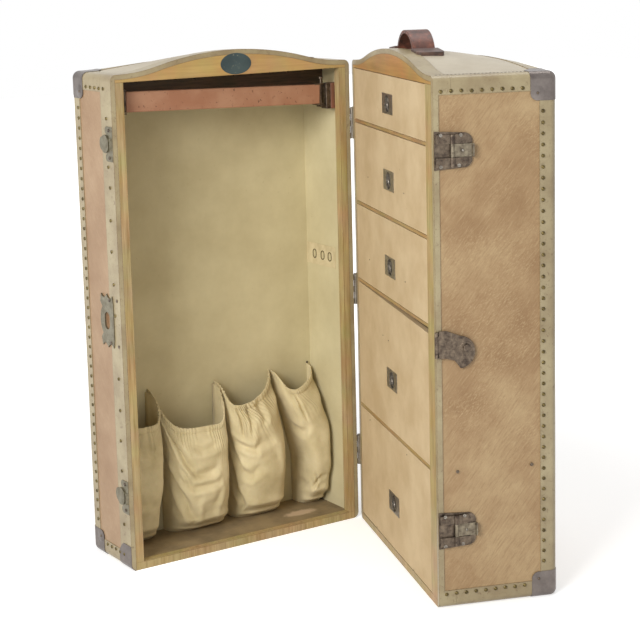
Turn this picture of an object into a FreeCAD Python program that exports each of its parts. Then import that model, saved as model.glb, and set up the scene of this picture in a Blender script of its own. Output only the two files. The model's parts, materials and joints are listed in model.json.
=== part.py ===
import FreeCAD, Part
import math
import os

# Wardrobe trunk, standing and part open. Two upright halves are hinged along one
# vertical edge like a book: a shallow hanging half with a garment bar and shoe
# pouches, and a deeper half with five drawers. Millimetres, +Z up. The origin is
# the middle of the hanging half's underside. Each half is drawn in a frame of its
# own: X across, Y back from the opening plane, Z up. place_hanging and
# place_drawers carry the two into the shared frame.

V = FreeCAD.Vector

# ---- driving sizes -----------------------------------------------------------
width = 600.0
shoulder_height = 1080.0
dome_rise = 38.0
back_rise = 6.0
hanging_depth = 188.0
drawer_depth = 256.0
open_angle = 70.5
closed_gap = 1.0

# case walls
board = 9.0
lining = 1.2
cloth_thickness = 1.4
binding = 1.6
binding_width = 37.0
edge_round = 14.0
shoulder_flat = 20.0
dome_hollow_radius = 340.0
seam = 0.15

# front strips: the binding's width on each side wall, from the opening back
hanging_latch_band = 50.0
drawer_latch_band = 12.0
hinge_band = 30.0

# rims and sill round the openings
stile_depth = 20.0
hanging_latch_rim = 30.0
hanging_hinge_rim = 27.0
drawer_latch_rim = 50.0
drawer_hinge_rim = 16.0
sill_height = 17.0
header_drop = 17.0
header_thickness = 8.0
ceiling_thickness = 6.0

# corner caps
cap_thickness = 1.2
cap_size = 56.0
cap_reach = 66.0

# maker's oval
oval_width = 77.0
oval_height = 46.0
oval_thickness = 0.6
oval_centre_x = 4.0
oval_above_header_edge = 24.0

# hardware heights: the two latches, with the lock midway and a hinge behind each
upper_latch_drop = 145.0
lower_latch_height = 165.0

# draw latches
latch_length = 78.0
latch_height = 76.0
latch_base = 2.0
latch_taper_length = 14.0
latch_taper = 4.0
latch_end_round = 24.0
latch_end_bulge = 2.0
latch_rail_height = 7.0
latch_rail_width = 18.0
latch_rail_start = 3.0
latch_rail_past_pin = 30.0
latch_rail_round = 6.0
latch_ear_wall = 1.0
latch_pin_cover = 4.0
latch_edge = 1.0
leaf_pivot_back = 37.0
leaf_length = 44.0
leaf_width = 26.0
leaf_thickness = 3.0
leaf_barrel = 4.0
leaf_lift = 0.5
leaf_pin = 2.0
leaf_lip = 5.0
leaf_lip_thickness = 3.0
leaf_side_gap = 0.6
leaf_rivet_radius = 3.0
leaf_rivet_rise = 1.5
pin_clearance = 0.06

# strikes for the draw latches
strike_length = 60.0
strike_height = 74.0
strike_plate = 1.4
strike_lip_width = 1.7
strike_edge = 0.8
strike_ear_reach = 25.0
strike_ear_bulge = 33.0
strike_ear_turn = 9.0
strike_waist = 23.0
strike_waist_half = 21.0
strike_tongue_half = 13.0
strike_tip = 6.0
strike_boss_length = 34.0
strike_boss_height = 38.0
strike_boss_rise = 5.0
strike_boss_gap = 6.0
mate_gap = 0.6

# lock hasp and lock plate
hasp_stud_back = 62.0
hasp_stud_drop = 9.0
hasp_neck = 28.0
hasp_neck_back = 16.0
hasp_waist_back = 14.0
hasp_head = 33.0
hasp_head_back = 50.0
hasp_head_drop = 17.0
hasp_head_turn = 13.0
hasp_reach = 80.0
hasp_thickness = 2.5
hasp_barrel = 3.6
hasp_barrel_half = 26.0
hasp_knuckle_gap = 0.3
hasp_leaf_clear = 1.0
hasp_lift = 1.0
hasp_base = 2.0
hasp_base_length = 22.0
hasp_web_gap = 0.5
hasp_pin = 1.6
stud_radius = 8.0
stud_collar = 13.0
stud_collar_height = 1.2
stud_height = 6.5
lock_plate_width = 60.0
lock_plate_height = 118.0
lock_plate_thickness = 2.4
lock_hole_width = 24.0
lock_hole_height = 38.0
lock_hole_depth = 8.0
lock_corner = 4.0
lock_corner_drop = 2.0
lock_notch_half = 10.0
lock_notch_depth = 8.0
lock_shoulder = 20.0
lock_waist_start = 30.0
lock_waist = 9.0
lock_belly = 2.0

# main hinges
hinge_axis_out = 5.5
hinge_barrel = 4.5
hinge_pin = 2.2
hinge_leaf = 1.8
hinge_leaf_width = 38.0
hinge_knuckle = 14.0
hinge_knuckles = 5
hinge_knuckle_gap = 0.4
hinge_leaf_clear = 1.5
hinge_pin_stand = 0.5
hinge_pin_head = 2.0

# garment bar
bar_height = 44.0
bar_thickness = 14.0
bar_set_back = 28.0
bar_latch_end_gap = 38.2
bar_hinge_end_gap = 50.2
bar_below_header = 44.0
bar_drop = 15.0
bar_round = 2.5
bar_barrel = 8.0
bar_barrel_gap = 1.0
bar_web_inset = 3.0
bar_pin = 3.0
bar_pin_head = 2.0
bar_lug = 3.0
bar_lug_gap = 1.0
bar_lug_side = 2.0
bar_plate = 3.0
bar_clear = 0.2
bar_cap_thickness = 2.0
bar_cap_reach = 12.0
bolt_radius = 2.5
bolt_room = 2.5
bolt_guide_clearance = 0.1
bolt_foot_gap = 1.0
bolt_knob = 5.5
bolt_knob_height = 5.0
bolt_knob_round = 1.5
bolt_neck = 0.5
bolt_travel = 10.0
keeper_lug = 3.0
keeper_lug_gap = 2.0
keeper_finger_gap = 0.6
keeper_finger_reach = 9.0
keeper_finger_length = 6.5
keeper_side_gap = 5.0
keeper_round = 1.5
keeper_inset = 2.0
catch_block_front = 12.0
catch_block_side = 6.0
catch_block_below = 12.0
catch_block_above = 2.0

# hanger rail
rail_height = 42.0
rail_thickness = 16.0
rail_set_back = 92.0
rail_drop = 5.0
rail_notch = 5.0
rail_notches = 11

# eyelet tape on the hinge side wall
tape_height = 50.0
tape_start = 55.0
tape_thickness = 1.0
tape_centre_z = 617.0
eyelet_width = 11.0
eyelet_height = 18.0
eyelet_rim = 2.0
eyelet_thickness = 0.8
eyelet_places = [78.0, 108.0, 142.0]

# shoe pouches, from the latch side; their widths share out the strip. The foot is
# drawn in at its two sides. The form says, at shares of the rim's height, how much
# of the belly's depth and of that drawing in there is.
pouch_widths = [124.0, 171.0, 149.0, 112.0]
pouch_rims = [270.0, 252.0, 294.0, 304.0]
pouch_bellies = [102.0, 106.0, 104.0, 102.0]
pouch_latch_insets = [0.0, 28.0, 22.0, 42.0]
pouch_hinge_insets = [6.0, 4.0, 2.0, 0.0]
pouch_form = [
    (0.0, 0.45, 1.0),
    (0.12, 0.8, 1.0),
    (0.4, 1.0, 0.9),
    (0.75, 0.95, 0.3),
    (1.0, 0.75, 0.0),
]
pouch_spacing = 4.0
pouch_end_gap = 4.2
pouch_wall = 4.0
pouch_peak_z = 344.0
pouch_ear_width = 26.0
pouch_ear_dip = 18.0
pouch_bow_share = 0.32
pouch_bow_limit = 0.85
pouch_corner_share = 0.6
pouch_rings = 10
pouch_clearance = 0.3

# drawers, top to bottom: the openings above the lowest, which takes what is left
drawer_openings = [119.0, 186.0, 180.0, 295.0]
pull_drops = [3.0, 12.0, 16.0, 28.0, 25.0]
divider = 7.0
drawer_top_gap = 1.5
drawer_bottom_gap = 0.8
drawer_side_gap = 1.0
drawer_front = 12.0
drawer_set_back = 0.5
drawer_side = 6.0
drawer_floor = 4.0
drawer_back_gap = 12.9
drawer_wall_drop = 10.0
guide_board = 5.0
worn_drawer = 3
worn_drop = 10.0

# drawer pulls
pull_width = 75.0
pull_height = 43.0
pull_plate = 1.2
dish_radius = 18.0
dish_depth = 7.0
dish_wall = 1.2
bail_radius = 14.0
bail_wire = 1.7
bail_pivot = 1.3
bail_lug = 3.0
bail_lug_gap = 0.3
bail_set_forward = 3.5
cup_clearance = 0.1

# carrying handle on the drawer half's roof
handle_back = 60.0
handle_width = 48.0
handle_thickness = 7.0
handle_half_length = 58.0
handle_rise = 38.0
handle_foot = 26.0
handle_foot_thickness = 2.5
handle_sink = 6.0
handle_gap = 0.5
tab_width = 58.0
tab_length = 50.0
tab_thickness = 6.0
tab_corner = 9.0

# ---- derived -----------------------------------------------------------------
# beyond is longer than the whole case, past is how far a cut runs over, and near
# is how close two places are that count as one.
half_width = width / 2
skin_x = half_width - binding
inner_x = skin_x - board
lined_x = inner_x - lining
floor_z = binding + board
beyond = width + shoulder_height
past = 1.0
near = 0.01
header_bottom = shoulder_height - header_drop
upper_latch_height = shoulder_height - upper_latch_drop
lock_height = (upper_latch_height + lower_latch_height) / 2
hardware_heights = [upper_latch_height, lock_height, lower_latch_height]
hanging_back = hanging_depth - binding - board
drawer_back = drawer_depth - binding - board
pouch_back = hanging_back - lining
pivot_x = half_width + hinge_axis_out
opening_heights = [header_bottom]
for drawer_opening in drawer_openings:
    opening_heights.append(opening_heights[-1] - drawer_opening)
opening_heights.append(sill_height)
bar_left = bar_latch_end_gap - lined_x
bar_right = lined_x - bar_hinge_end_gap
bar_centre_z = header_bottom - bar_below_header

os.makedirs("parts", exist_ok=True)


def box(x0, x1, y0, y1, z0, z1):
    return Part.makeBox(x1 - x0, y1 - y0, z1 - z0, V(x0, y0, z0))


def rod(radius, start, direction, length):
    return Part.makeCylinder(radius, length, start, direction)


def fused(shapes):
    whole = shapes[0]
    for shape in shapes[1:]:
        whole = whole.fuse(shape)
    return whole.removeSplitter()


def place_hanging(shape):
    moved = shape.copy()
    moved.translate(V(0, -hanging_depth / 2, 0))
    return moved


def place_drawers(shape):
    """Turn the drawer half about the main hinge, from its own frame."""
    moved = shape.copy()
    moved.translate(V(pivot_x, closed_gap / 2, 0))
    moved.rotate(V(0, 0, 0), V(0, 0, 1), 180 + open_angle)
    moved.translate(V(pivot_x, -closed_gap / 2 - hanging_depth / 2, 0))
    return moved


def save(name, solids, place=None):
    """Write one node from a shape or a list of separate solids."""
    pieces = []
    for shape in solids if isinstance(solids, list) else [solids]:
        pieces += shape.Solids
    whole = pieces[0] if len(pieces) == 1 else Part.makeCompound(pieces)
    (place(whole) if place else whole).exportStep(f"parts/{name}.step")


# ---- the case ----------------------------------------------------------------
def outline(inset, rise, y):
    """Front view of a half at one depth: straight sides and a low ogee dome."""
    run = half_width - shoulder_flat
    turn = 2 * math.atan(rise / run)
    half = turn / 2
    hollow = dome_hollow_radius + inset
    crown = run / math.sin(turn) - hollow
    side = half_width - inset
    top = shoulder_height - inset
    low = V(-run + hollow * math.sin(half), y, top + hollow * (1 - math.cos(half)))
    meet = V(-crown * math.sin(turn), y, top + rise - crown * (1 - math.cos(turn)))
    bend, peak = V(-run, y, top), V(0, y, top + rise)

    def across(point):
        return V(-point.x, y, point.z)

    foot, corner = V(-side, y, inset), V(-side, y, top)
    edges = [
        Part.makeLine(foot, corner),
        Part.makeLine(corner, bend),
        Part.Arc(bend, low, meet).toShape(),
        Part.Arc(meet, peak, across(meet)).toShape(),
        Part.Arc(across(meet), across(low), across(bend)).toShape(),
        Part.makeLine(across(bend), across(corner)),
        Part.makeLine(across(corner), across(foot)),
        Part.makeLine(across(foot), foot),
    ]
    return Part.Wire(edges)


def rise_at(share):
    """The dome is highest at the opening and sinks towards the back."""
    return dome_rise - (dome_rise - back_rise) * share * share


def body(inset, start, end, depth):
    """Solid with the case's own form, inset all round, between two depths."""
    stations = [start + (end - start) * k / 4 for k in range(5)]
    wires = [outline(inset, rise_at(min(1, max(0, y / depth))), y) for y in stations]
    return Part.makeLoft(wires, True)


def mouth_prism(inset, start, end):
    """The outline at the opening, run straight back."""
    return Part.Face(outline(inset, dome_rise, start)).extrude(V(0, end - start, 0))


def rounded_body(inset, start, end, depth, radius):
    """The body with its back edges and its four lengthwise corners rounded."""
    solid = body(inset, start, end, depth)
    chosen = []
    for edge in solid.Edges:
        a, b = edge.Vertexes[0].Point, edge.Vertexes[-1].Point
        at_back = min(a.y, b.y) > end - near
        lengthwise = abs(a.y - b.y) > past and abs(abs(a.x) - (half_width - inset)) < near
        if at_back or lengthwise:
            chosen.append(edge)
    return solid.makeFillet(radius, chosen)


def case_bodies(depth):
    """The outside of the bindings, the outside of the boards and the hollow."""
    outside = rounded_body(0, 0, depth, depth, edge_round)
    boards = rounded_body(binding, binding, depth - binding, depth, edge_round - binding)
    wall = binding + board
    hollow = body(wall, 0, depth - wall, depth).fuse(mouth_prism(wall, -past, 0))
    return outside, boards, hollow


def case_boards(depth, boards, hollow, latch_side):
    """Back panel, two side walls, base board and domed top, butted together."""
    back_start = depth - binding - board
    back_zone = box(-beyond, beyond, back_start, depth, 0, beyond)
    back = boards.common(back_zone)
    tube = boards.cut(back_zone).cut(hollow)
    wall_top = shoulder_height - binding - board
    left = tube.common(box(-beyond, -inner_x, 0, depth, floor_z, wall_top))
    right = tube.common(box(inner_x, beyond, 0, depth, floor_z, wall_top))
    top = tube.common(box(-beyond, beyond, 0, depth, wall_top, beyond))
    base = tube.common(box(-beyond, beyond, 0, depth, 0, floor_z))
    base = base.cut(box(-inner_x, inner_x, -past, stile_depth, -past, floor_z + past))
    rest_x = half_width - binding_width
    foot = box(-rest_x, rest_x, stile_depth, depth - binding_width, 0, floor_z)
    base = fused([base, foot])
    latch_wall, hinge_wall = (left, right) if latch_side < 0 else (right, left)
    return back, latch_wall, hinge_wall, base, top


def edge_binding(depth, outside, boards, hollow, latch_side, latch_band):
    """Fibre strips over every edge: two rings and four lengthwise strips."""
    cage = outside.cut(boards).cut(hollow)
    edge_x = half_width - binding_width
    back_y = depth - binding_width
    bands = {latch_side: latch_band, -latch_side: hinge_band}
    for side, band in bands.items():
        low, high = sorted((side * beyond, side * (half_width - edge_round)))
        panel_top = shoulder_height - binding_width
        cage = cage.cut(box(low, high, band, back_y, binding_width, panel_top))
    roof = box(-edge_x, edge_x, binding_width, back_y, header_bottom, beyond)
    under = box(-edge_x, edge_x, stile_depth, back_y, -past, floor_z)
    rear_window = Part.Face(outline(binding_width, back_rise, back_y))
    behind = rear_window.extrude(V(0, binding_width + past, 0))
    sill_space = box(-inner_x, inner_x, -past, stile_depth, -past, sill_height)
    cage = cage.cut(roof).cut(under).cut(behind).cut(sill_space)
    front_end = max(latch_band, hinge_band, binding_width)
    lengths = [(-past, front_end - seam), (front_end + seam, back_y - seam),
               (back_y + seam, depth + past)]
    return [cage.common(box(-beyond, beyond, start, end, -past, beyond))
            for start, end in lengths]


def corner_caps(depth, corners):
    """Pressed steel caps. A corner is a side, a height (0 or 1) and an end."""
    outer = rounded_body(-cap_thickness, -cap_thickness, depth + cap_thickness, depth,
                         edge_round + cap_thickness)
    core = rounded_body(0, -2 * cap_thickness, depth, depth, edge_round)
    skin = outer.cut(core)
    skin = skin.cut(box(-beyond, beyond, -depth, 0, -beyond, beyond))
    caps = []
    for side, high, rear in corners:
        point = V(side * half_width, depth if rear else 0, shoulder_height * high)
        x0, x1 = sorted((point.x + side * cap_size, point.x - side * cap_size))
        inward = -1 if rear else 1
        y0, y1 = sorted((point.y - inward * cap_size, point.y + inward * cap_size))
        z0, z1 = (0, cap_size) if not high else (point.z - cap_size, point.z + cap_size)
        block = box(x0, x1, y0, y1, z0, z1)
        ball = Part.makeSphere(cap_reach, point)
        caps.append(skin.common(block).common(ball))
    return caps


def front_frame(outside, latch_side, latch_rim, hinge_rim):
    """Two stiles and a sill of hardwood inside the mouth of the case."""
    pieces = [box(-inner_x, inner_x, 0, stile_depth, 0, sill_height).common(outside)]
    for side, rim in ((latch_side, latch_rim), (-latch_side, hinge_rim)):
        x0, x1 = sorted((side * (half_width - rim), side * inner_x))
        pieces.append(box(x0, x1, 0, stile_depth, sill_height, header_bottom))
    return pieces


def header_board(hollow):
    return hollow.common(box(-beyond, beyond, 0, header_thickness, header_bottom, beyond))


def ceiling(depth):
    y0 = header_thickness
    top = header_bottom + ceiling_thickness
    return box(-inner_x, inner_x, y0, depth - binding - board, header_bottom, top)


# ---- hardware drawn on a side wall -------------------------------------------
# A plate is drawn flat with U along Y and then turned up against the wall. lift
# is the height above the binding, and latch_side says which wall carries it.
def plate_on_wall(wire, low, high, latch_side, height):
    """Extrude a wire drawn in Y and Z, from low to high above the binding."""
    face = Part.Face(wire)
    start = half_width + low
    face.translate(V(latch_side * start, 0, height))
    return face.extrude(V(latch_side * (high - low), 0, 0))


def smooth_wire(points):
    """A closed wire of straight and curved runs. A triple is an arc's middle."""
    edges = []
    last = points[0]
    middle = None
    for point in points[1:] + [points[0]]:
        if len(point) == 3:
            middle = point
            continue
        a, b = V(0, last[0], last[1]), V(0, point[0], point[1])
        if middle:
            edges.append(Part.Arc(a, V(0, middle[0], middle[1]), b).toShape())
            middle = None
        else:
            edges.append(Part.makeLine(a, b))
        last = point
    return Part.Wire(edges)


def oval_wire(width_y, height_z, centre_y):
    """A slot-shaped wire: straight sides with half-round ends."""
    r = width_y / 2
    s = height_z / 2 - r
    points = [
        (centre_y - r, -s),
        (centre_y - r, s),
        (centre_y, s + r, 0),
        (centre_y + r, s),
        (centre_y + r, -s),
        (centre_y, -s - r, 0),
    ]
    return smooth_wire(points)


def clear_of_binding(shape, side, band):
    """Cut away the part of a wall plate that lies where the front binding is."""
    x0, x1 = sorted((side * inner_x, side * half_width))
    return shape.cut(box(x0, x1, -past, band + seam, 0, beyond))


def latch_base_plate(side, height, band):
    """Base of a draw latch: plate, two raised rails and the leaf's pin."""
    half = latch_height / 2
    end = latch_edge + latch_length
    points = [
        (latch_edge, -half),
        (latch_edge, half),
        (end - latch_taper_length, half - latch_taper),
        (end - latch_end_bulge, half - latch_end_round / 2, 0),
        (end, half - latch_end_round),
        (end, latch_end_round - half),
        (end - latch_end_bulge, latch_end_round / 2 - half, 0),
        (end - latch_taper_length, latch_taper - half),
    ]
    pieces = [plate_on_wall(smooth_wire(points), -binding, latch_base, side, height)]
    channel = leaf_width / 2 + leaf_side_gap
    rail_end = leaf_pivot_back + latch_rail_past_pin
    for sign in (1, -1):
        near, far = sign * channel, sign * (channel + latch_rail_width)
        wire = [
            (latch_rail_start, near),
            (latch_rail_start, far),
            (rail_end - latch_rail_round, far),
            (rail_end, far - sign * latch_rail_round),
            (rail_end, near),
        ]
        pieces.append(plate_on_wall(smooth_wire(wire), 0, latch_rail_height, side, height))
        foot = V(side * leaf_axis_x(), leaf_pivot_back, height + min(near, far))
        pieces.append(rod(leaf_barrel + latch_ear_wall, foot, V(0, 0, 1), latch_rail_width))
    base = clear_of_binding(fused(pieces), side, band)
    pin_half = channel + latch_rail_width - latch_pin_cover
    pin = rod(leaf_pin, V(side * leaf_axis_x(), leaf_pivot_back, height - pin_half),
              V(0, 0, 1), 2 * pin_half)
    return [base.cut(pin), pin]


def leaf_axis_x():
    return half_width + latch_base + leaf_barrel + leaf_lift


def latch_leaf(side, height):
    """The flap of a draw latch, folded back flat, with a hooked end."""
    half = leaf_width / 2
    axis = V(side * leaf_axis_x(), leaf_pivot_back, height - half)
    low = leaf_axis_x() - leaf_barrel
    end = leaf_pivot_back + leaf_length
    x0, x1 = sorted((side * low, side * (low + leaf_thickness)))
    z0, z1 = height - half, height + half
    plate = box(x0, x1, leaf_pivot_back, end, z0, z1)
    lip_x = sorted((side * low, side * (low + leaf_thickness + leaf_lip)))
    lip = box(lip_x[0], lip_x[1], end - leaf_lip_thickness, end, z0, z1)
    barrel = rod(leaf_barrel, axis, V(0, 0, 1), leaf_width)
    rivet = rod(leaf_rivet_radius,
                V(side * low, leaf_pivot_back + leaf_length / 2, height),
                V(side, 0, 0), leaf_thickness + leaf_rivet_rise)
    leaf = fused([plate, lip, barrel, rivet])
    return leaf.cut(rod(leaf_pin + pin_clearance, axis, V(0, 0, 1), leaf_width))


def strike(side, height, band):
    """Strike of a draw latch: lobed plate, hook bar at the edge and a boss."""
    half = strike_height / 2
    tongue = strike_length - strike_tip
    points = [
        (strike_edge, -half),
        (strike_edge, half),
        (strike_ear_reach, half),
        (strike_ear_bulge, half - strike_ear_turn, 0),
        (strike_waist, strike_waist_half),
        (tongue, strike_tongue_half),
        (strike_length, 0, 0),
        (tongue, -strike_tongue_half),
        (strike_waist, -strike_waist_half),
        (strike_ear_bulge, strike_ear_turn - half, 0),
        (strike_ear_reach, -half),
    ]
    plate = plate_on_wall(smooth_wire(points), -binding, strike_plate, side, height)
    hook_top = leaf_axis_x() - half_width + leaf_barrel - leaf_thickness - mate_gap
    lip_wire = smooth_wire([
        (strike_edge, -strike_tongue_half),
        (strike_edge, strike_tongue_half),
        (strike_edge + strike_lip_width, strike_tongue_half),
        (strike_edge + strike_lip_width, -strike_tongue_half),
    ])
    lip = plate_on_wall(lip_wire, 0, hook_top, side, height)
    centre = leaf_length - leaf_pivot_back + strike_boss_gap + strike_boss_length / 2
    dome_wire = oval_wire(strike_boss_length, strike_boss_height, centre)
    dome = plate_on_wall(dome_wire, 0, strike_boss_rise, side, height)
    return clear_of_binding(fused([plate, lip, dome]), side, band)


def hasp_axis_x():
    return half_width + hasp_barrel + hasp_lift


def hasp_hinge(side, height, band):
    """Fixed leaf of the lock's hasp, with its two end knuckles and the pin."""
    half = hasp_barrel_half
    start = hasp_barrel + hasp_leaf_clear
    wire = smooth_wire([
        (start, -half), (start, half), (hasp_base_length, half), (hasp_base_length, -half),
    ])
    pieces = [plate_on_wall(wire, -binding, hasp_base, side, height)]
    axis_x = side * hasp_axis_x()
    knuckle = half / 3
    x0, x1 = sorted((side * (half_width + hasp_web_gap), side * (half_width + hasp_base)))
    for z in (height - half, height + half - knuckle):
        pieces.append(rod(hasp_barrel, V(axis_x, 0, z), V(0, 0, 1), knuckle))
        pieces.append(box(x0, x1, 0, start + past, z, z + knuckle))
    whole = clear_of_binding(fused(pieces), side, band)
    pin = rod(hasp_pin, V(axis_x, 0, height - half), V(0, 0, 1), 2 * half)
    return [whole.cut(pin), pin]


def hasp(side, height):
    """Comma-shaped hasp, folded back, with the stud that enters the lock."""
    half = hasp_barrel_half
    start = hasp_barrel + hasp_leaf_clear
    points = [
        (start, -hasp_neck),
        (start, hasp_neck),
        (start + hasp_neck_back, hasp_neck),
        (hasp_head_back, hasp_head - hasp_head_drop),
        (hasp_reach, -hasp_head_drop, 0),
        (hasp_head_back, -hasp_head - hasp_head_drop),
        (hasp_head_back - hasp_head_turn, -hasp_head),
        (start + hasp_waist_back, -hasp_neck),
    ]
    low = hasp_base + hasp_lift
    high = low + hasp_thickness
    plate = plate_on_wall(smooth_wire(points), low, high, side, height)
    axis_x = side * hasp_axis_x()
    length = 4 / 3 * half - 2 * hasp_knuckle_gap
    foot = V(axis_x, 0, height - length / 2)
    barrel = rod(hasp_barrel, foot, V(0, 0, 1), length)
    x0, x1 = sorted((side * (half_width + low), side * (half_width + high)))
    web = box(x0, x1, 0, start + past, foot.z, foot.z + length)
    middle = V(side * (half_width + high), hasp_stud_back, height - hasp_stud_drop)
    collar = rod(stud_collar, middle, V(side, 0, 0), stud_collar_height)
    stud = rod(stud_radius, middle, V(side, 0, 0), stud_height)
    whole = fused([plate, barrel, web, collar, stud])
    bore = rod(hasp_pin + pin_clearance, foot - V(0, 0, past), V(0, 0, 1), length + 2 * past)
    return whole.cut(bore)


def lock_centre():
    """How far back from the hanging half's opening the hasp's stud lands."""
    return hasp_stud_back - closed_gap


def lock_hole(side):
    wire = oval_wire(lock_hole_width, lock_hole_height, lock_centre())
    return plate_on_wall(wire, -lock_hole_depth, lock_hole_depth, side, lock_height)


def lock_plate(side, band):
    """Lock plate with scrolled ends and the oval mouth that takes the stud."""
    w, h = lock_plate_width / 2, lock_plate_height / 2
    centre = lock_centre()
    upper = [
        (-w, h - lock_shoulder),
        (lock_corner - w, h - lock_corner_drop),
        (-lock_notch_half, h - lock_notch_depth, 0),
        (0, h),
        (lock_notch_half, h - lock_notch_depth, 0),
        (w - lock_corner, h - lock_corner_drop),
        (w, h - lock_shoulder),
        (w - lock_waist, h - lock_waist_start),
    ]
    lower = [(point[0], -point[1]) + point[2:] for point in reversed(upper)]
    drawn = upper + [(w + lock_belly, 0, 0)] + lower
    points = [(centre + point[0],) + point[1:] for point in drawn]
    plate = plate_on_wall(smooth_wire(points), -binding, lock_plate_thickness, side,
                          lock_height)
    return clear_of_binding(plate, side, band).cut(lock_hole(side))


# ---- main hinges -------------------------------------------------------------
def hinge_leaves(side, owner, pivot_y):
    """Three strap leaves on the hinge side wall; owner 0 has the outer knuckles."""
    leaves = []
    total = hinge_knuckles * hinge_knuckle
    for height in hardware_heights:
        bottom = height - total / 2
        start = hinge_barrel + hinge_leaf_clear
        x0, x1 = sorted((side * half_width, side * (half_width + hinge_leaf)))
        pieces = [box(x0, x1, start, start + hinge_leaf_width, bottom, bottom + total)]
        for k in range(owner, hinge_knuckles, 2):
            z0 = bottom + k * hinge_knuckle + hinge_knuckle_gap / 2
            tall = hinge_knuckle - hinge_knuckle_gap
            pieces.append(box(x0, x1, 0, start + past, z0, z0 + tall))
            pieces.append(rod(hinge_barrel, V(side * pivot_x, pivot_y, z0), V(0, 0, 1), tall))
        leaf = fused(pieces)
        bore = rod(hinge_pin + pin_clearance, V(side * pivot_x, pivot_y, bottom - past),
                   V(0, 0, 1), total + 2 * past)
        leaves.append(leaf.cut(bore))
    return leaves


def hinge_pins(side, pivot_y):
    """Each pin's length and head; the head stands just above the top knuckle."""
    total = hinge_knuckles * hinge_knuckle
    pins = []
    for height in hardware_heights:
        bottom = height - total / 2
        pin = rod(hinge_pin, V(side * pivot_x, pivot_y, bottom), V(0, 0, 1),
                  total + hinge_pin_stand)
        top = V(side * pivot_x, pivot_y, bottom + total + hinge_pin_stand)
        head = rod(hinge_barrel - hinge_pin_stand, top, V(0, 0, 1), hinge_pin_head)
        pins.append(fused([pin, head]))
    return pins


# ---- hanging half: fittings --------------------------------------------------
bar_axis = V(bar_left - bar_barrel - bar_barrel_gap, bar_set_back + bar_thickness / 2, 0)
bar_tilt = math.degrees(math.atan(bar_drop / (bar_right - bar_left)))
bar_end_z = bar_centre_z - bar_drop
bolt_x = bar_right + bar_cap_thickness + bolt_radius + bolt_room
lug_top_z = bar_end_z - bar_height / 2 - bar_cap_thickness - keeper_lug_gap


def garment_bar():
    """Painted board that holds the clothes back; it sags a little at its free end."""
    half = bar_height / 2
    board_y = bar_set_back + bar_thickness
    bar = box(bar_left, bar_right, bar_set_back, board_y, -half, half)
    edges = [e for e in bar.Edges if abs(e.Vertexes[0].X - e.Vertexes[-1].X) > bar_round]
    bar = bar.makeFillet(bar_round, edges)
    bar.rotate(V(bar_left, 0, 0), V(0, 1, 0), bar_tilt)
    bar.translate(V(0, 0, bar_centre_z))
    return bar


def bar_end_fittings():
    """Pivot barrel at the left end, and the channel that carries the bolt."""
    half = bar_height / 2
    skin = bar_cap_thickness
    y0, y1 = bar_set_back, bar_set_back + bar_thickness
    z0 = bar_centre_z - half
    barrel = rod(bar_barrel, bar_axis + V(0, 0, z0), V(0, 0, 1), bar_height)
    web = box(bar_axis.x, bar_left, y0 + bar_web_inset, y1 - bar_web_inset,
              z0 + past, z0 + bar_height - past)
    pivot = fused([barrel, web]).cut(garment_bar())
    pivot = pivot.cut(rod(bar_pin + pin_clearance, bar_axis, V(0, 0, 1), beyond))
    pivot = pivot.cut(box(bar_left - bar_clear, bar_left + bar_barrel, y0 - past, y1 + past,
                          0, beyond))
    top = bar_end_z + half + skin
    bottom = bar_end_z - half - skin
    x0, x1 = bar_right - bar_cap_reach, bolt_x + bolt_radius + skin
    outer = box(x0, x1, y0, y1, bottom, top)
    mouth = box(bar_right + skin, x1 + past, y0 - past, y1 + past, bottom + skin, top - skin)
    channel = outer.cut(mouth).cut(garment_bar())
    channel = channel.cut(box(x0 - past, bar_right, y0 - past, y1 + past,
                              bar_end_z - half + past, bar_end_z + half - past))
    guide = rod(bolt_radius + bolt_guide_clearance, V(bolt_x, bar_axis.y, bottom - past),
                V(0, 0, 1), top - bottom + 2 * past)
    return [pivot, channel.cut(guide)]


def bar_bolt():
    """Thumb bolt, raised. It drops between the keeper's two fingers."""
    bottom = lug_top_z + bolt_foot_gap
    top = bar_end_z + bar_height / 2 + bar_cap_thickness + bolt_travel + bolt_neck
    shank = rod(bolt_radius, V(bolt_x, bar_axis.y, bottom), V(0, 0, 1), top + past - bottom)
    knob = rod(bolt_knob, V(bolt_x, bar_axis.y, top), V(0, 0, 1), bolt_knob_height)
    grip = knob.makeFillet(bolt_knob_round, knob.Edges[:1])
    return fused([shank, grip])


def bar_bracket():
    """Bracket on the latch side wall with two lugs and the bar's pivot pin."""
    half = bar_height / 2
    z0, z1 = bar_centre_z - half - bar_lug_gap, bar_centre_z + half + bar_lug_gap
    y0, y1 = bar_set_back - bar_lug_side, bar_set_back + bar_thickness + bar_lug_side
    reach = bar_axis.x + bar_barrel
    pieces = [box(-lined_x, -lined_x + bar_plate, y0, y1, z0 - bar_lug, z1 + bar_lug)]
    for low in (z0 - bar_lug, z1):
        pieces.append(box(-lined_x, reach, y0, y1, low, low + bar_lug))
    head = rod(bar_pin + bar_pin_head, bar_axis + V(0, 0, z1 + bar_lug), V(0, 0, 1),
               bar_pin_head)
    pin = rod(bar_pin, bar_axis + V(0, 0, z0 - bar_lug), V(0, 0, 1), z1 - z0 + 2 * bar_lug)
    pin = fused([pin, head])
    return [fused(pieces).cut(pin), pin]


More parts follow.
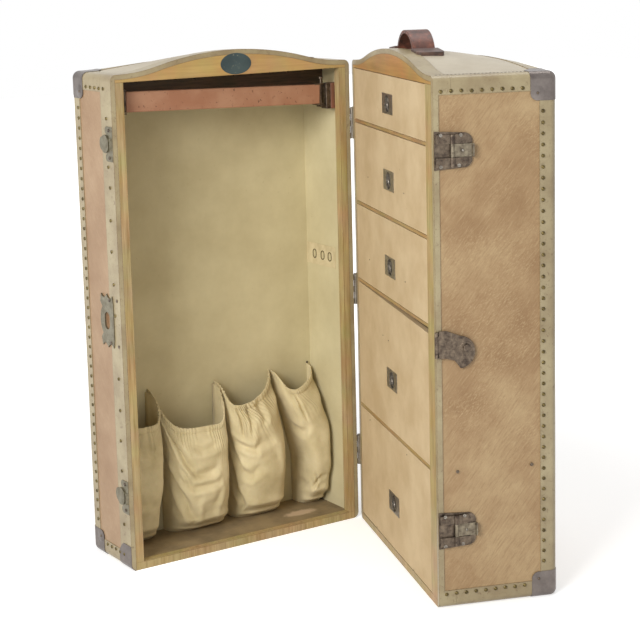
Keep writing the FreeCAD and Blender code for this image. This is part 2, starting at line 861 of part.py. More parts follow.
def catch_parts():
    """Wooden block on the hinge side wall, and the keeper: a plate on the block's end
    with two steel fingers that the bolt drops between."""
    x0 = bolt_x + bolt_radius + keeper_side_gap
    half = bar_height / 2
    y0, y1 = bar_set_back - catch_block_side, bar_set_back + bar_thickness + catch_block_side
    z0, z1 = bar_end_z - half - catch_block_below, bar_end_z + half + catch_block_above
    block = box(x0 + catch_block_front, lined_x, y0, y1, z0, z1)
    plate = box(x0, x0 + catch_block_front, y0 + keeper_inset, y1 - keeper_inset, z0, z1)
    nose = [e for e in plate.Edges if max(v.X for v in e.Vertexes) < x0 + keeper_round]
    plate = plate.makeFillet(keeper_round, nose)
    keeper = [plate]
    for side in (-1, 1):
        close = bar_axis.y + side * (bolt_radius + keeper_finger_gap)
        far = bar_axis.y + side * keeper_finger_reach
        keeper.append(box(bolt_x - keeper_finger_length, x0, min(close, far),
                          max(close, far), lug_top_z - keeper_lug, lug_top_z))
    return block, keeper


def hanger_rail():
    """Rail under the ceiling, notched along its top edge for the hangers' hooks."""
    top = header_bottom - rail_drop
    rail = box(-lined_x, lined_x, rail_set_back, rail_set_back + rail_thickness,
               top - rail_height, top)
    pitch = 2 * lined_x / (rail_notches + 1)
    for k in range(rail_notches):
        x = -lined_x + (k + 1) * pitch
        rail = rail.cut(rod(rail_notch, V(x, rail_set_back - past, top), V(0, 1, 0),
                            rail_thickness + 2 * past))
    return rail


def oval_plate():
    """Small oval badge plate on the header, left plain."""
    centre = V(oval_centre_x, 0, header_bottom + oval_above_header_edge)
    ellipse = Part.Ellipse(centre + V(oval_width / 2, 0, 0),
                           centre + V(0, 0, oval_height / 2), centre)
    face = Part.Face(Part.Wire(ellipse.toShape()))
    return face.extrude(V(0, -oval_thickness, 0))


def hanging_linings():
    """Paper lining on the back and side walls, and the cloth on the floor."""
    z0, z1 = floor_z, header_bottom
    back = box(-inner_x, inner_x, pouch_back, hanging_back, z0, z1)
    left = box(-inner_x, -lined_x, stile_depth, pouch_back, z0, z1)
    right = box(lined_x, inner_x, stile_depth, pouch_back, z0, z1)
    cloth = box(-lined_x, lined_x, stile_depth, pouch_back, floor_z, floor_z + cloth_thickness)
    trim = box(-beyond, beyond, 0, hanging_depth, 0, floor_z + cloth_thickness)
    return [back.cut(trim), left.cut(trim), right.cut(trim)], cloth


def eyelet_tape():
    """Tape across the hinge side wall with three oval eyelets for a strap."""
    x0 = lined_x - tape_thickness
    half = tape_height / 2
    tape = box(x0, lined_x, tape_start, pouch_back, tape_centre_z - half, tape_centre_z + half)
    eyelets = []
    for y in eyelet_places:
        hole = plate_on_wall(oval_wire(eyelet_width, eyelet_height, y), -half_width, 0, 1,
                             tape_centre_z)
        tape = tape.cut(hole)
        ring = oval_wire(eyelet_width + 2 * eyelet_rim, eyelet_height + 2 * eyelet_rim, y)
        face = Part.Face(ring)
        face.translate(V(x0 - eyelet_thickness, 0, tape_centre_z))
        eyelets.append(face.extrude(V(eyelet_thickness, 0, 0)).cut(hole))
    return tape, eyelets


def pouch_section(left, right, reach, z, back):
    """Plan of a pouch at one height: flat behind and at the sides, bowed in front."""
    middle, half = (left + right) / 2, (right - left) / 2
    deep = min(pouch_bow_share * reach, pouch_bow_limit * half)
    start = back - reach + deep
    corner = pouch_corner_share * deep
    across, ahead = half - corner, deep - corner
    behind = (across ** 2 - ahead ** 2) / (2 * ahead)
    turn = math.atan2(behind, across)

    def on_corner(side, angle):
        return V(middle + side * (across + corner * math.cos(angle)),
                 start - corner * math.sin(angle), z)

    rounded = [Part.Arc(on_corner(side, 0), on_corner(side, turn / 2), on_corner(side, turn))
               for side in (1, -1)]
    front = Part.Arc(on_corner(1, turn), V(middle, start - deep, z), on_corner(-1, turn))
    a, b = V(left, back, z), V(right, back, z)
    return Part.Wire([Part.makeLine(a, b), Part.makeLine(b, on_corner(1, 0)),
                      rounded[0].toShape(), front.toShape(), rounded[1].toShape(),
                      Part.makeLine(on_corner(-1, 0), a)])


def pouch_form_at(height):
    """Share of the belly's depth and of the foot's inset, eased between the values."""
    for low, high in zip(pouch_form, pouch_form[1:]):
        if height <= high[0]:
            ease = (1 - math.cos(math.pi * (height - low[0]) / (high[0] - low[0]))) / 2
            return [a + (b - a) * ease for a, b in zip(low[1:], high[1:])]


def shoe_pouch(left, right, number):
    """A cloth pocket, open at the top, with two ears tacked to the back."""
    wall = pouch_wall
    rim, belly = pouch_rims[number], pouch_bellies[number]
    back = pouch_back - pouch_clearance
    floor = floor_z + cloth_thickness + pouch_clearance
    outer, inner = [], []
    for step in range(pouch_rings + 1):
        height = step / pouch_rings
        depth, drawn = pouch_form_at(height)
        z = floor + (rim - floor) * height
        x0 = left + pouch_latch_insets[number] * drawn
        x1 = right - pouch_hinge_insets[number] * drawn
        outer.append(pouch_section(x0, x1, belly * depth, z, back))
        raised = floor + wall if step == 0 else z + (past if height == 1 else 0)
        inner.append(pouch_section(x0 + wall, x1 - wall, belly * depth - 1.5 * wall, raised,
                                   back - wall / 2))
    pocket = Part.makeLoft(outer, True, True).cut(Part.makeLoft(inner, True, True))
    dip = rim + pouch_ear_dip
    ear = pouch_ear_width
    points = [V(left, back, rim - wall), V(left, back, pouch_peak_z),
              V(left + ear / 2, back, pouch_peak_z), V(left + ear, back, dip),
              V(right - ear, back, dip), V(right - ear / 2, back, pouch_peak_z),
              V(right, back, pouch_peak_z), V(right, back, rim - wall)]
    ears = Part.Face(Part.makePolygon(points + points[:1])).extrude(V(0, -wall / 2, 0))
    return fused([pocket, ears])


def shoe_pouches():
    """Four pouches side by side, which share out the strip between the walls."""
    room = 2 * (lined_x - pouch_end_gap) - pouch_spacing * (len(pouch_widths) - 1)
    left = pouch_end_gap - lined_x
    made = []
    for number, wide in enumerate(pouch_widths):
        right = left + room * wide / sum(pouch_widths)
        made.append(shoe_pouch(left, right, number))
        left = right + pouch_spacing
    return made


# ---- drawer half: fittings ---------------------------------------------------
cabinet_left = -half_width + drawer_hinge_rim
cabinet_right = half_width - drawer_latch_rim
cabinet_middle = (cabinet_left + cabinet_right) / 2


def dividers():
    """Four dust boards and the ceiling shelf, up to the mouth."""
    y1 = drawer_back
    shelves = []
    for z in opening_heights[1:-1]:
        shelves.append(box(cabinet_left, cabinet_right, drawer_set_back, y1,
                           z - divider / 2, z + divider / 2))
    return shelves


def guides():
    """Upright boards beside the drawers, behind the stiles."""
    low, high = sill_height, header_bottom
    y0, y1 = stile_depth, drawer_back
    left = box(cabinet_left - guide_board, cabinet_left, y0, y1, low, high)
    right = box(cabinet_right, cabinet_right + guide_board, y0, y1, low, high)
    return [left, right]


def drawer_span(k):
    """Bottom and top of drawer k's front."""
    upper, lower = opening_heights[k], opening_heights[k + 1]
    top = upper - drawer_top_gap - (divider / 2 if k else 0)
    last = k == len(drawer_openings)
    bottom = lower + drawer_bottom_gap + (0 if last else divider / 2)
    return bottom, top


def pull_centre(k):
    bottom, top = drawer_span(k)
    return V(cabinet_middle, drawer_set_back, (bottom + top) / 2 - pull_drops[k])


def drawer_box(k):
    """One drawer: front board, two sides, back and bottom, glued up."""
    bottom, top = drawer_span(k)
    x0, x1 = cabinet_left + drawer_side_gap, cabinet_right - drawer_side_gap
    y0 = drawer_set_back
    y1 = y0 + drawer_front
    y2 = drawer_back - drawer_back_gap
    drop = worn_drop if k == worn_drawer else 0
    face = Part.Face(Part.makePolygon([V(x0, y0, bottom), V(x0, y0, top),
                                       V(x1, y0, top - drop), V(x1, y0, bottom),
                                       V(x0, y0, bottom)]))
    front = face.extrude(V(0, drawer_front, 0))
    cup = rod(dish_radius + dish_wall, pull_centre(k), V(0, 1, 0), dish_depth + dish_wall)
    front = front.cut(cup)
    wall_top = top - drawer_wall_drop
    t = drawer_side
    floor_top = bottom + drawer_floor
    sides = [
        box(x0, x0 + t, y1, y2, floor_top, wall_top),
        box(x1 - t, x1, y1, y2, floor_top, wall_top),
        box(x0 + t, x1 - t, y2 - t, y2, floor_top, wall_top),
        box(x0, x1, y1, y2, bottom, floor_top),
    ]
    return [front] + sides


def pull_plate_on(k):
    """Flush pull: plate with a round dish and two lugs for the bail."""
    c = pull_centre(k)
    w, h = pull_width / 2, pull_height / 2
    plate = box(c.x - w, c.x + w, c.y - pull_plate, c.y, c.z - h, c.z + h)
    cup = rod(dish_radius + dish_wall - cup_clearance, c - V(0, pull_plate, 0), V(0, 1, 0),
              pull_plate + dish_depth + dish_wall - cup_clearance)
    hollow = rod(dish_radius, c - V(0, pull_plate + past, 0), V(0, 1, 0),
                 dish_depth + past)
    body = fused([plate, cup]).cut(hollow)
    lugs = []
    for side in (-1, 1):
        x0, x1 = sorted((side * (bail_radius + bail_wire + bail_lug_gap),
                         side * dish_radius))
        lugs.append(box(c.x + x0, c.x + x1, c.y - pull_plate, c.y + dish_depth,
                        c.z - bail_lug, c.z + bail_lug))
    body = fused([body] + lugs)
    bore = rod(bail_pivot + pin_clearance, bail_axis(k) - V(dish_radius, 0, 0), V(1, 0, 0),
               2 * dish_radius)
    return body.cut(bore)


def bail_axis(k):
    return pull_centre(k) + V(0, dish_depth - bail_set_forward, 0)


def bail_on(k):
    """Half-round wire bail, hanging in the dish."""
    c = bail_axis(k)
    ring = Part.makeTorus(bail_radius, bail_wire, c, V(0, 1, 0))
    reach = 2 * bail_radius
    lower = box(c.x - reach, c.x + reach, c.y - reach, c.y + reach, c.z - reach, c.z)
    pieces = [ring.common(lower)]
    for side in (-1, 1):
        outer = dish_radius - bail_lug_gap
        x0 = min(side * (bail_radius - bail_wire), side * outer)
        length = outer - bail_radius + bail_wire
        pieces.append(rod(bail_pivot, c + V(x0, 0, 0), V(1, 0, 0), length))
        pieces.append(Part.makeSphere(bail_wire, c + V(side * bail_radius, 0, 0)))
    return fused(pieces)


def handle_crown():
    """Radius of the dome's crown under the handle, and the height of its ridge."""
    rise = rise_at(handle_back / drawer_depth)
    run = half_width - shoulder_flat
    turn = 2 * math.atan(rise / run)
    return run / math.sin(turn) - dome_hollow_radius, shoulder_height + rise


def roof_height(x):
    radius, ridge = handle_crown()
    return ridge - radius + math.sqrt(radius * radius - x * x)


def roof_slab(side, across, start, end, high):
    """A slab along the roof from start to end, tilted to it and sunk into it."""
    middle = (start + end) / 2
    reach = (end - start) / 2
    angle = math.degrees(math.asin(middle / handle_crown()[0]))
    slab = box(-reach, reach, handle_back - across / 2, handle_back + across / 2,
               -handle_sink, high)
    slab.rotate(V(0, 0, 0), V(0, 1, 0), side * angle)
    slab.translate(V(side * middle, 0, roof_height(middle)))
    return slab


def handle_arch(reach, top, across):
    """Solid under a round arch, from below the roof up."""
    y = handle_back - across / 2
    foot = roof_height(reach)
    left, right = V(-reach, y, foot), V(reach, y, foot)
    under_left, under_right = left - V(0, 0, handle_sink), right - V(0, 0, handle_sink)
    wire = Part.Wire([
        Part.Arc(left, V(0, y, top), right).toShape(),
        Part.makeLine(right, under_right),
        Part.makeLine(under_right, under_left),
        Part.makeLine(under_left, left),
    ])
    return Part.Face(wire).extrude(V(0, across, 0))


def handle_strap(roof):
    """Leather strap bent into an arch, with a thin foot at each end on the roof."""
    peak = shoulder_height + dome_rise + handle_rise
    inner = handle_half_length - handle_thickness
    arch = handle_arch(handle_half_length, peak, handle_width)
    arch = arch.cut(handle_arch(inner, peak - handle_thickness, 2 * handle_width))
    feet = [roof_slab(side, handle_width, inner, handle_half_length + handle_foot,
                      handle_foot_thickness) for side in (-1, 1)]
    strap = fused([arch] + feet)
    for piece in roof:
        strap = strap.cut(piece)
    return strap


def handle_tabs(strap, roof):
    """Thick leather tabs that hold the strap's feet to the roof."""
    tabs = []
    start = handle_half_length + handle_gap
    for side in (-1, 1):
        tab = roof_slab(side, tab_width, start, start + tab_length, tab_thickness)
        upright = [e for e in tab.Edges
                   if abs(e.Vertexes[0].Z - e.Vertexes[-1].Z) > handle_sink
                   and abs(e.CenterOfMass.x) > start + tab_length / 2]
        tab = tab.makeFillet(tab_corner, upright).cut(strap)
        for piece in roof:
            tab = tab.cut(piece)
        tabs.append(tab)
    return tabs


# ---- build: hanging half -----------------------------------------------------
hanging_latch_side = -1
drawer_latch_side = 1

outside, boards, hollow = case_bodies(hanging_depth)
back, latch_wall, hinge_wall, base, top = case_boards(hanging_depth, boards, hollow,
                                                      hanging_latch_side)
latch_wall = latch_wall.cut(lock_hole(hanging_latch_side))
save("hanging_back_panel", back, place_hanging)
save("hanging_latch_wall", latch_wall, place_hanging)
save("hanging_hinge_wall", hinge_wall, place_hanging)
save("hanging_base_board", base, place_hanging)
save("hanging_domed_top", top, place_hanging)
bindings = edge_binding(hanging_depth, outside, boards, hollow, hanging_latch_side,
                        hanging_latch_band)
save("hanging_edge_binding", [strip.cut(lock_hole(hanging_latch_side))
                              for strip in bindings], place_hanging)
save("hanging_corner_caps", corner_caps(hanging_depth, [
    (-1, 1, True), (1, 1, True), (-1, 0, True), (1, 0, True), (-1, 0, False),
]), place_hanging)
save("hanging_front_frame", front_frame(outside, hanging_latch_side, hanging_latch_rim,
                                        hanging_hinge_rim), place_hanging)
save("hanging_header_board", header_board(hollow), place_hanging)
save("hanging_ceiling_board", ceiling(hanging_depth), place_hanging)
save("blank_oval_plate", oval_plate(), place_hanging)
linings, cloth = hanging_linings()
save("hanging_lining", linings, place_hanging)
save("hanging_floor_cloth", cloth, place_hanging)
save("hanger_rail", hanger_rail(), place_hanging)
tape, eyelets = eyelet_tape()
save("eyelet_tape", tape, place_hanging)
save("tape_eyelets", eyelets, place_hanging)
save("shoe_pouches", shoe_pouches(), place_hanging)
catch_block, catch_keeper = catch_parts()
save("bar_catch_block", catch_block, place_hanging)
save("bar_brackets", bar_bracket() + catch_keeper, place_hanging)
save("garment_bar", garment_bar(), place_hanging)
save("bar_end_fittings", bar_end_fittings(), place_hanging)
save("bar_catch_bolt", bar_bolt(), place_hanging)
strikes = [strike(hanging_latch_side, z, hanging_latch_band)
           for z in (hardware_heights[0], hardware_heights[2])]
save("draw_latch_strikes", strikes, place_hanging)
save("lock_plate", lock_plate(hanging_latch_side, hanging_latch_band), place_hanging)
save("hinge_leaves_hanging", hinge_leaves(1, 0, -closed_gap / 2), place_hanging)
save("hinge_pins", hinge_pins(1, -closed_gap / 2), place_hanging)

# ---- build: drawer half ------------------------------------------------------
outside, boards, hollow = case_bodies(drawer_depth)
back, latch_wall, hinge_wall, base, top = case_boards(drawer_depth, boards, hollow,
                                                      drawer_latch_side)
save("drawer_back_panel", back, place_drawers)
save("drawer_latch_wall", latch_wall, place_drawers)
save("drawer_hinge_wall", hinge_wall, place_drawers)
save("drawer_base_board", base, place_drawers)
save("drawer_domed_top", top, place_drawers)
drawer_bindings = edge_binding(drawer_depth, outside, boards, hollow,
                               drawer_latch_side, drawer_latch_band)
save("drawer_edge_binding", drawer_bindings, place_drawers)
save("drawer_corner_caps", corner_caps(drawer_depth, [
    (-1, 1, True), (1, 1, True), (-1, 0, True), (1, 0, True),
]), place_drawers)
save("drawer_front_frame", front_frame(outside, drawer_latch_side, drawer_latch_rim,
                                       drawer_hinge_rim), place_drawers)
save("drawer_header_board", header_board(hollow), place_drawers)
save("drawer_dividers", dividers() + [ceiling(drawer_depth)], place_drawers)
save("drawer_guides", guides(), place_drawers)
for k in range(len(drawer_openings) + 1):
    save(f"drawer_{k + 1}_box", drawer_box(k), place_drawers)
    save(f"drawer_{k + 1}_pull_plate", pull_plate_on(k), place_drawers)
    save(f"drawer_{k + 1}_bail", bail_on(k), place_drawers)
latch_bases = []
for z in (hardware_heights[0], hardware_heights[2]):
    latch_bases += latch_base_plate(drawer_latch_side, z, drawer_latch_band)
save("draw_latch_bases", latch_bases, place_drawers)
save("upper_latch_leaf", latch_leaf(drawer_latch_side, hardware_heights[0]), place_drawers)
save("lower_latch_leaf", latch_leaf(drawer_latch_side, hardware_heights[2]), place_drawers)
save("lock_hasp_hinge", hasp_hinge(drawer_latch_side, lock_height, drawer_latch_band),
     place_drawers)
save("lock_hasp", hasp(drawer_latch_side, lock_height), place_drawers)
save("hinge_leaves_drawer", hinge_leaves(-1, 1, -closed_gap / 2), place_drawers)
roof = [top] + drawer_bindings
strap = handle_strap(roof)
save("handle_strap", strap, place_drawers)
save("handle_tabs", handle_tabs(strap, roof), place_drawers)
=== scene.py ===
# %% [markdown]
# # A wardrobe trunk, dressed in Blender
# The trunk stands on its end and opens like a book. One half is a shallow wardrobe
# with a garment bar and cotton shoe pouches, the other a chest of five drawers.
# The hard pieces come ready made, each in its place. This lesson gives them their
# finishes and adds what is soft or small: cloth pouches, nails, screws and stitches.

# %% Load the trunk
import json
import math
import random
import bpy
import numpy as np
from mathutils import Matrix, Vector, noise


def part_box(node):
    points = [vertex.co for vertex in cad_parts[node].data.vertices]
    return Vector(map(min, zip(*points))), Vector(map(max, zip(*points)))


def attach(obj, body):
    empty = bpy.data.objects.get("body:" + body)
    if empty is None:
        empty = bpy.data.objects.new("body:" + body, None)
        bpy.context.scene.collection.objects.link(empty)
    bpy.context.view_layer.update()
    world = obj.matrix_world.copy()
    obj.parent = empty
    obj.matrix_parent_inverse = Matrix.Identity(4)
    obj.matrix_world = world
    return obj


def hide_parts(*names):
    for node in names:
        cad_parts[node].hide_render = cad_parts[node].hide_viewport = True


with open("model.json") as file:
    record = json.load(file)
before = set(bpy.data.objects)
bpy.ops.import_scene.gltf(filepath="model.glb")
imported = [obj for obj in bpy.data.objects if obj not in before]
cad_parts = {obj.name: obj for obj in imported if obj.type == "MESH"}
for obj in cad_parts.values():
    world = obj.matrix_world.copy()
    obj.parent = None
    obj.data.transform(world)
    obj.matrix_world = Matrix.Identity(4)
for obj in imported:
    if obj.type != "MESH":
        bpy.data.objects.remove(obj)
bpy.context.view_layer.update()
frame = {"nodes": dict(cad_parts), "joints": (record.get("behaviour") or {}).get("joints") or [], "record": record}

# %% [markdown]
# ## Where things are
# The wardrobe half lies square to the axes: X across, Y back from its opening, Z up.
# The drawer half is swung open about the hinge, so a point on it is easiest to give
# in its own directions: across from the hinge side to the latch side, and back from
# its opening. The hinge and a drawer's slide tell those directions.

# %% Sizes and directions of the two halves
MM = 0.001
joints = {joint["name"]: joint for joint in frame["joints"]}
hinge = Vector(joints["main_hinge"]["pos_m"])
outwards = Vector(joints["drawer_2_slide"]["axis"])
back_way = -outwards
latch_way = Vector((back_way.y, -back_way.x, 0))

wardrobe_low, wardrobe_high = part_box("hanging_edge_binding")
half_width = wardrobe_high.x
opening_y = wardrobe_low.y
wardrobe_depth = wardrobe_high.y - wardrobe_low.y
closed_gap = 2 * (opening_y - hinge.y)
hinge_out = hinge.x - half_width
drawer_depth = 256 * MM
shoulder = 1080 * MM


def on_wardrobe(x, y, z):
    """A point of the wardrobe half, with y measured back from its opening."""
    return Vector((x, opening_y + y, z))


def on_drawers(x, y, z):
    """A point of the drawer half in its own directions, x towards the latches."""
    point = hinge + latch_way * (x + half_width + hinge_out) + back_way * (y + closed_gap / 2)
    return Vector((point.x, point.y, z))


def drawer_way(x, y, z):
    """A direction given in the drawer half's own axes."""
    return latch_way * x + back_way * y + Vector((0, 0, z))


turn_of_drawers = math.atan2(latch_way.y, latch_way.x)
print("half width", round(half_width, 4), "drawer half turned",
      round(math.degrees(turn_of_drawers), 1), "degrees")

# %% [markdown]
# ## Camera
# A long lens, a little above the trunk and to the left, looking between the halves.
# The upright lines stay nearly upright because the lens is shifted, so that its axis
# meets the picture above the middle, instead of the camera being tipped further.

# %% Place the camera
camera_place = Vector((-1.8792, -3.2909, 1.3215))
camera_yaw, camera_pitch, camera_roll = -0.57872, -0.17336, 0.02500
focal_pixels, picture_pixels, lens_row = 1703.5, 640, 250

camera_data = bpy.data.cameras.new("camera")
camera_data.sensor_width = 36
camera_data.lens = focal_pixels * camera_data.sensor_width / picture_pixels
camera_data.shift_y = (lens_row - picture_pixels / 2) / picture_pixels
camera = bpy.data.objects.new("camera", camera_data)
bpy.context.scene.collection.objects.link(camera)
aim = (Matrix.Rotation(camera_yaw, 3, "Z") @ Matrix.Rotation(camera_pitch, 3, "X")
       @ Matrix.Rotation(camera_roll, 3, "Y"))
camera_axes = Matrix((aim.col[0], aim.col[2], -aim.col[1])).transposed()
camera.matrix_world = Matrix.Translation(camera_place) @ camera_axes.to_4x4()
bpy.context.scene.camera = camera
bpy.context.scene.view_settings.view_transform = "Standard"
print("lens", round(camera_data.lens, 1), "mm")

# %% [markdown]
# ## Colours and nodes
# Colours are picked as sRGB hex values, as a paint chart gives them, and one function
# turns them to the linear values that Blender works in. Another adds a node, sets
# what is set on it and links what feeds it. On top of that stand the few moves that
# every finish is made of: a noise, colours that follow it, a level cut out of it and
# a stain laid where it is high. Each finish below then reads as a short list.

# %% Helpers for finishes
def colour(hex_value):
    """A linear colour from an sRGB hex value such as #C9BE94."""
    parts = [int(hex_value[i:i + 2], 16) / 255 for i in (1, 3, 5)]
    linear = [p / 12.92 if p <= 0.04045 else ((p + 0.055) / 1.055) ** 2.4 for p in parts]
    return (*linear, 1)


def feature(size_mm):
    """The scale at which a pattern repeats every size_mm millimetres."""
    return 1 / (size_mm * MM)


def add(tree, kind, inputs=None, stops=None, **settings):
    """Adds a node. An input is a value, or another node's socket to link from."""
    made = tree.nodes.new(kind)
    for name, value in settings.items():
        setattr(made, name, value)
    for name, value in (inputs or {}).items():
        if isinstance(value, bpy.types.NodeSocket):
            tree.links.new(value, made.inputs[name])
        else:
            made.inputs[name].default_value = value
    if stops:
        points = made.color_ramp.elements
        while len(points) < len(stops):
            points.new(0.5)
        for point, (place, value) in zip(points, stops):
            point.position = place
            point.color = colour(value) if isinstance(value, str) else (value,) * 3 + (1,)
    return made


def mottle(tree, place, size_mm, output="Fac", **inputs):
    """A noise of soft patches about size_mm across."""
    return add(tree, "ShaderNodeTexNoise", {
        "Vector": place, "Scale": feature(size_mm), **inputs}).outputs[output]


def ramp(tree, value, *stops):
    """Colours, or greys, that follow a value."""
    return add(tree, "ShaderNodeValToRGB", {"Fac": value}, stops).outputs["Color"]


def level(tree, value, start, end, top=1.0):
    """Rises from 0 to top while the value goes from start to end."""
    return add(tree, "ShaderNodeMapRange", {
        "Value": value, "From Min": start, "From Max": end, "To Max": top}).outputs["Result"]


def combine(tree, operation, first, second):
    """The sum, product or larger one of two values."""
    return add(tree, "ShaderNodeMath", {0: first, 1: second}, operation=operation).outputs[0]


def stain_over(tree, under, mask, over, blend_type="MIX"):
    """Lays a colour over another one, as much as the mask says."""
    factor, first, second, mixed = 0, 6, 7, 2
    over = colour(over) if isinstance(over, str) else over
    return add(tree, "ShaderNodeMix", {factor: mask, first: under, second: over},
               data_type="RGBA", blend_type=blend_type).outputs[mixed]


def finish_named(name, **shader):
    """A new material: its tree, its shader and the object's own coordinates."""
    material = bpy.data.materials.new(name)
    material.use_nodes = True
    tree = material.node_tree
    shell = tree.nodes["Principled BSDF"]
    for socket, value in shader.items():
        shell.inputs[socket.replace("_", " ")].default_value = value
    place = add(tree, "ShaderNodeTexCoord").outputs["Object"]
    return material, tree, shell, place


def coat(tree, shell, tint, height, depth_mm, strength):
    """Gives the shader its colour, and a height as relief of the given depth."""
    relief = add(tree, "ShaderNodeBump", {
        "Height": height, "Distance": depth_mm * MM, "Strength": strength})
    tree.links.new(tint, shell.inputs["Base Color"])
    tree.links.new(relief.outputs["Normal"], shell.inputs["Normal"])


print("helpers ready")

# %% [markdown]
# ## Covering of the case
# The outside is rawhide stretched wet over board and left to dry. It dries hard and
# slightly glossy, with cloudy patches and hair marks that all slant one way. A slow
# noise makes the clouds. A noise drawn out along a slanting line makes the hair marks,
# and a shorter one, which shows only in patches, the flecks where the hide is bare.

# %% Rawhide panels
def combed(tree, place, axis, degrees, length_mm, thin_mm):
    """A noise drawn out along a line turned from upright about the given axis."""
    turn = Matrix.Rotation(math.radians(degrees), 3, axis).to_euler()
    laid = add(tree, "ShaderNodeMapping", {
        "Vector": place, "Rotation": tuple(turn),
        "Scale": (thin_mm * MM, thin_mm * MM, length_mm * MM)}, vector_type="TEXTURE")
    return add(tree, "ShaderNodeTexNoise", {
        "Vector": laid.outputs["Vector"], "Scale": 1.0, "Detail": 4.0,
        "Roughness": 0.62, "Distortion": 0.25}).outputs["Fac"]


def rawhide(name, dark, middle, light, axis, strength=1.0):
    """Clouds, combed hair marks and patches of bare, lighter flecks."""
    material, tree, shell, place = finish_named(name, Roughness=0.5)
    clouds = mottle(tree, place, 130, Detail=5.0, Roughness=0.62)
    tint = ramp(tree, clouds, (0.24, dark), (0.48, middle), (0.76, light))
    marks = combed(tree, place, axis, -38, 30, 3.2)
    fine = combed(tree, place, axis, -50, 7, 2.6)
    gathers = level(tree, mottle(tree, place, 110), 0.40, 0.62, 0.6 * strength)
    flecks = combine(tree, "MULTIPLY", level(tree, fine, 0.50, 0.66), gathers)
    tint = stain_over(tree, tint, level(tree, marks, 0.48, 0.36, 0.4 * strength), dark)
    tint = stain_over(tree, tint, level(tree, marks, 0.56, 0.70, 0.45 * strength), light)
    tint = stain_over(tree, tint, flecks, light)
    coat(tree, shell, tint, combine(tree, "ADD", marks, fine), 0.9, 0.45 * strength)
    return material


ACROSS, BACK, UP = Vector((1, 0, 0)), Vector((0, 1, 0)), Vector((0, 0, 1))
covering_of_drawer_half = rawhide(
    "rawhide_drawer_half", "#8A6A46", "#9F815C", "#B99F77", latch_way)
covering_of_wardrobe_half = rawhide(
    "rawhide_wardrobe_half", "#8F6F50", "#A08263", "#B39778", ACROSS, 0.6)
covering_of_roof = rawhide("rawhide_roof", "#A89C86", "#B7AC97", "#C6BCA7", BACK, 0.25)
print("rawhide ready")

# %% [markdown]
# ## Vulcanised fibre bindings
# Every edge is bound with vulcanised fibre, cotton rag paper hardened until it is as
# tough as horn. It is ivory when new, smooth and a little waxy. Age gives it soft
# stains and brown dirt in its scratches. The same brown laid along the edges is partly
# dirt and partly painted shade, the dark line where the binding meets the panel. A bevel
# node finds the edges: it bends the normal beside them, and nowhere else.

# %% Fibre bindings
# Used for worn edges on wood, and for painted shade along the fibre bindings.
def edge_wear_and_shade(tree, radius_mm):
    """1 along the edges and 0 on the flat, from how far the bevel bends the normal."""
    bent = add(tree, "ShaderNodeBevel", {"Radius": radius_mm * MM}, samples=4)
    true = add(tree, "ShaderNodeNewGeometry").outputs["Normal"]
    agree = add(tree, "ShaderNodeVectorMath", {0: bent.outputs["Normal"], 1: true},
                operation="DOT_PRODUCT")
    return level(tree, agree.outputs["Value"], 0.97, 0.80)


def fibre(name, clean, stained, grime_and_edge_shade):
    material, tree, shell, place = finish_named(name, Roughness=0.36)
    stains = mottle(tree, place, 75, Detail=6.0, Roughness=0.62)
    marks = mottle(tree, place, 10, Detail=8.0, Roughness=0.72, Distortion=0.8)
    dirt = level(tree, marks, 0.43, 0.30, 0.75)
    # Darkening along the edges: painted shade where the binding meets the panel, with some dirt.
    edge_shade_and_rub = combine(tree, "MULTIPLY", edge_wear_and_shade(tree, 3.0), level(tree, marks, 0.34, 0.6))
    tint = stain_over(tree, ramp(tree, stains, (0.32, stained), (0.64, clean)),
                      combine(tree, "MAXIMUM", dirt, edge_shade_and_rub), grime_and_edge_shade)
    coat(tree, shell, tint, marks, 0.5, 0.35)
    return material


# The last colour is dirt in the scratches, and painted shade along the edges.
binding_fibre = fibre("vulcanised_fibre", "#AA9C7A", "#907F60", "#634B2F")
print("fibre ready")

# %% [markdown]
# ## Steel, iron and brass
# Caps are pressed steel sheet, once plated and now dull grey with rust in the pits.
# Latch bases and lock are heavier japanned iron, nearly black, with brown rust and a
# little bare metal where they rub. The nails are brass gone brown. One function makes
# them all: a noise swings between bare and tarnished, and a fine one sets rusty pits.

# %% Metals
def old_metal(name, bare, tarnished, rust, rust_from, roughness, patch_mm):
    material, tree, shell, place = finish_named(name, Roughness=roughness, Metallic=0.75)
    patches = mottle(tree, place, patch_mm, Detail=7.0, Roughness=0.68)
    pits = mottle(tree, place, 2.5, Detail=5.0, Roughness=0.7)
    rusty = ramp(tree, pits, (rust_from, 0.0), (rust_from + 0.12, 0.9))
    tint = stain_over(tree, ramp(tree, patches, (0.36, tarnished), (0.66, bare)), rusty, rust)
    shine = add(tree, "ShaderNodeMapRange", {"Value": rusty, "To Min": 0.8, "To Max": 0.1})
    tree.links.new(shine.outputs["Result"], shell.inputs["Metallic"])
    coat(tree, shell, tint, pits, 0.35, 0.5)
    return material


cap_steel = old_metal("dull_plated_steel", "#7E7671", "#68605C", "#574338", 0.66, 0.34, 30)
latch_iron = old_metal("japanned_iron", "#7A6C5C", "#40362F", "#5E3D28", 0.58, 0.38, 12)
leaf_steel = old_metal("rubbed_leaf_steel", "#918773", "#5C5245", "#5E3D28", 0.6, 0.34, 10)
strike_steel = old_metal("tarnished_strike_steel", "#8B8674", "#6A6450", "#6E4A2E", 0.56, 0.45, 14)
hinge_steel = old_metal("dull_hinge_steel", "#8A8378", "#5F574C", "#5A4230", 0.6, 0.45, 20)
nail_brass = old_metal("browned_brass", "#77683F", "#453A22", "#3A2E1E", 0.6, 0.4, 9)
pull_nickel = old_metal("worn_nickel_plate", "#A29C92", "#6F675D", "#4E4238", 0.58, 0.35, 7)
print("metals ready")

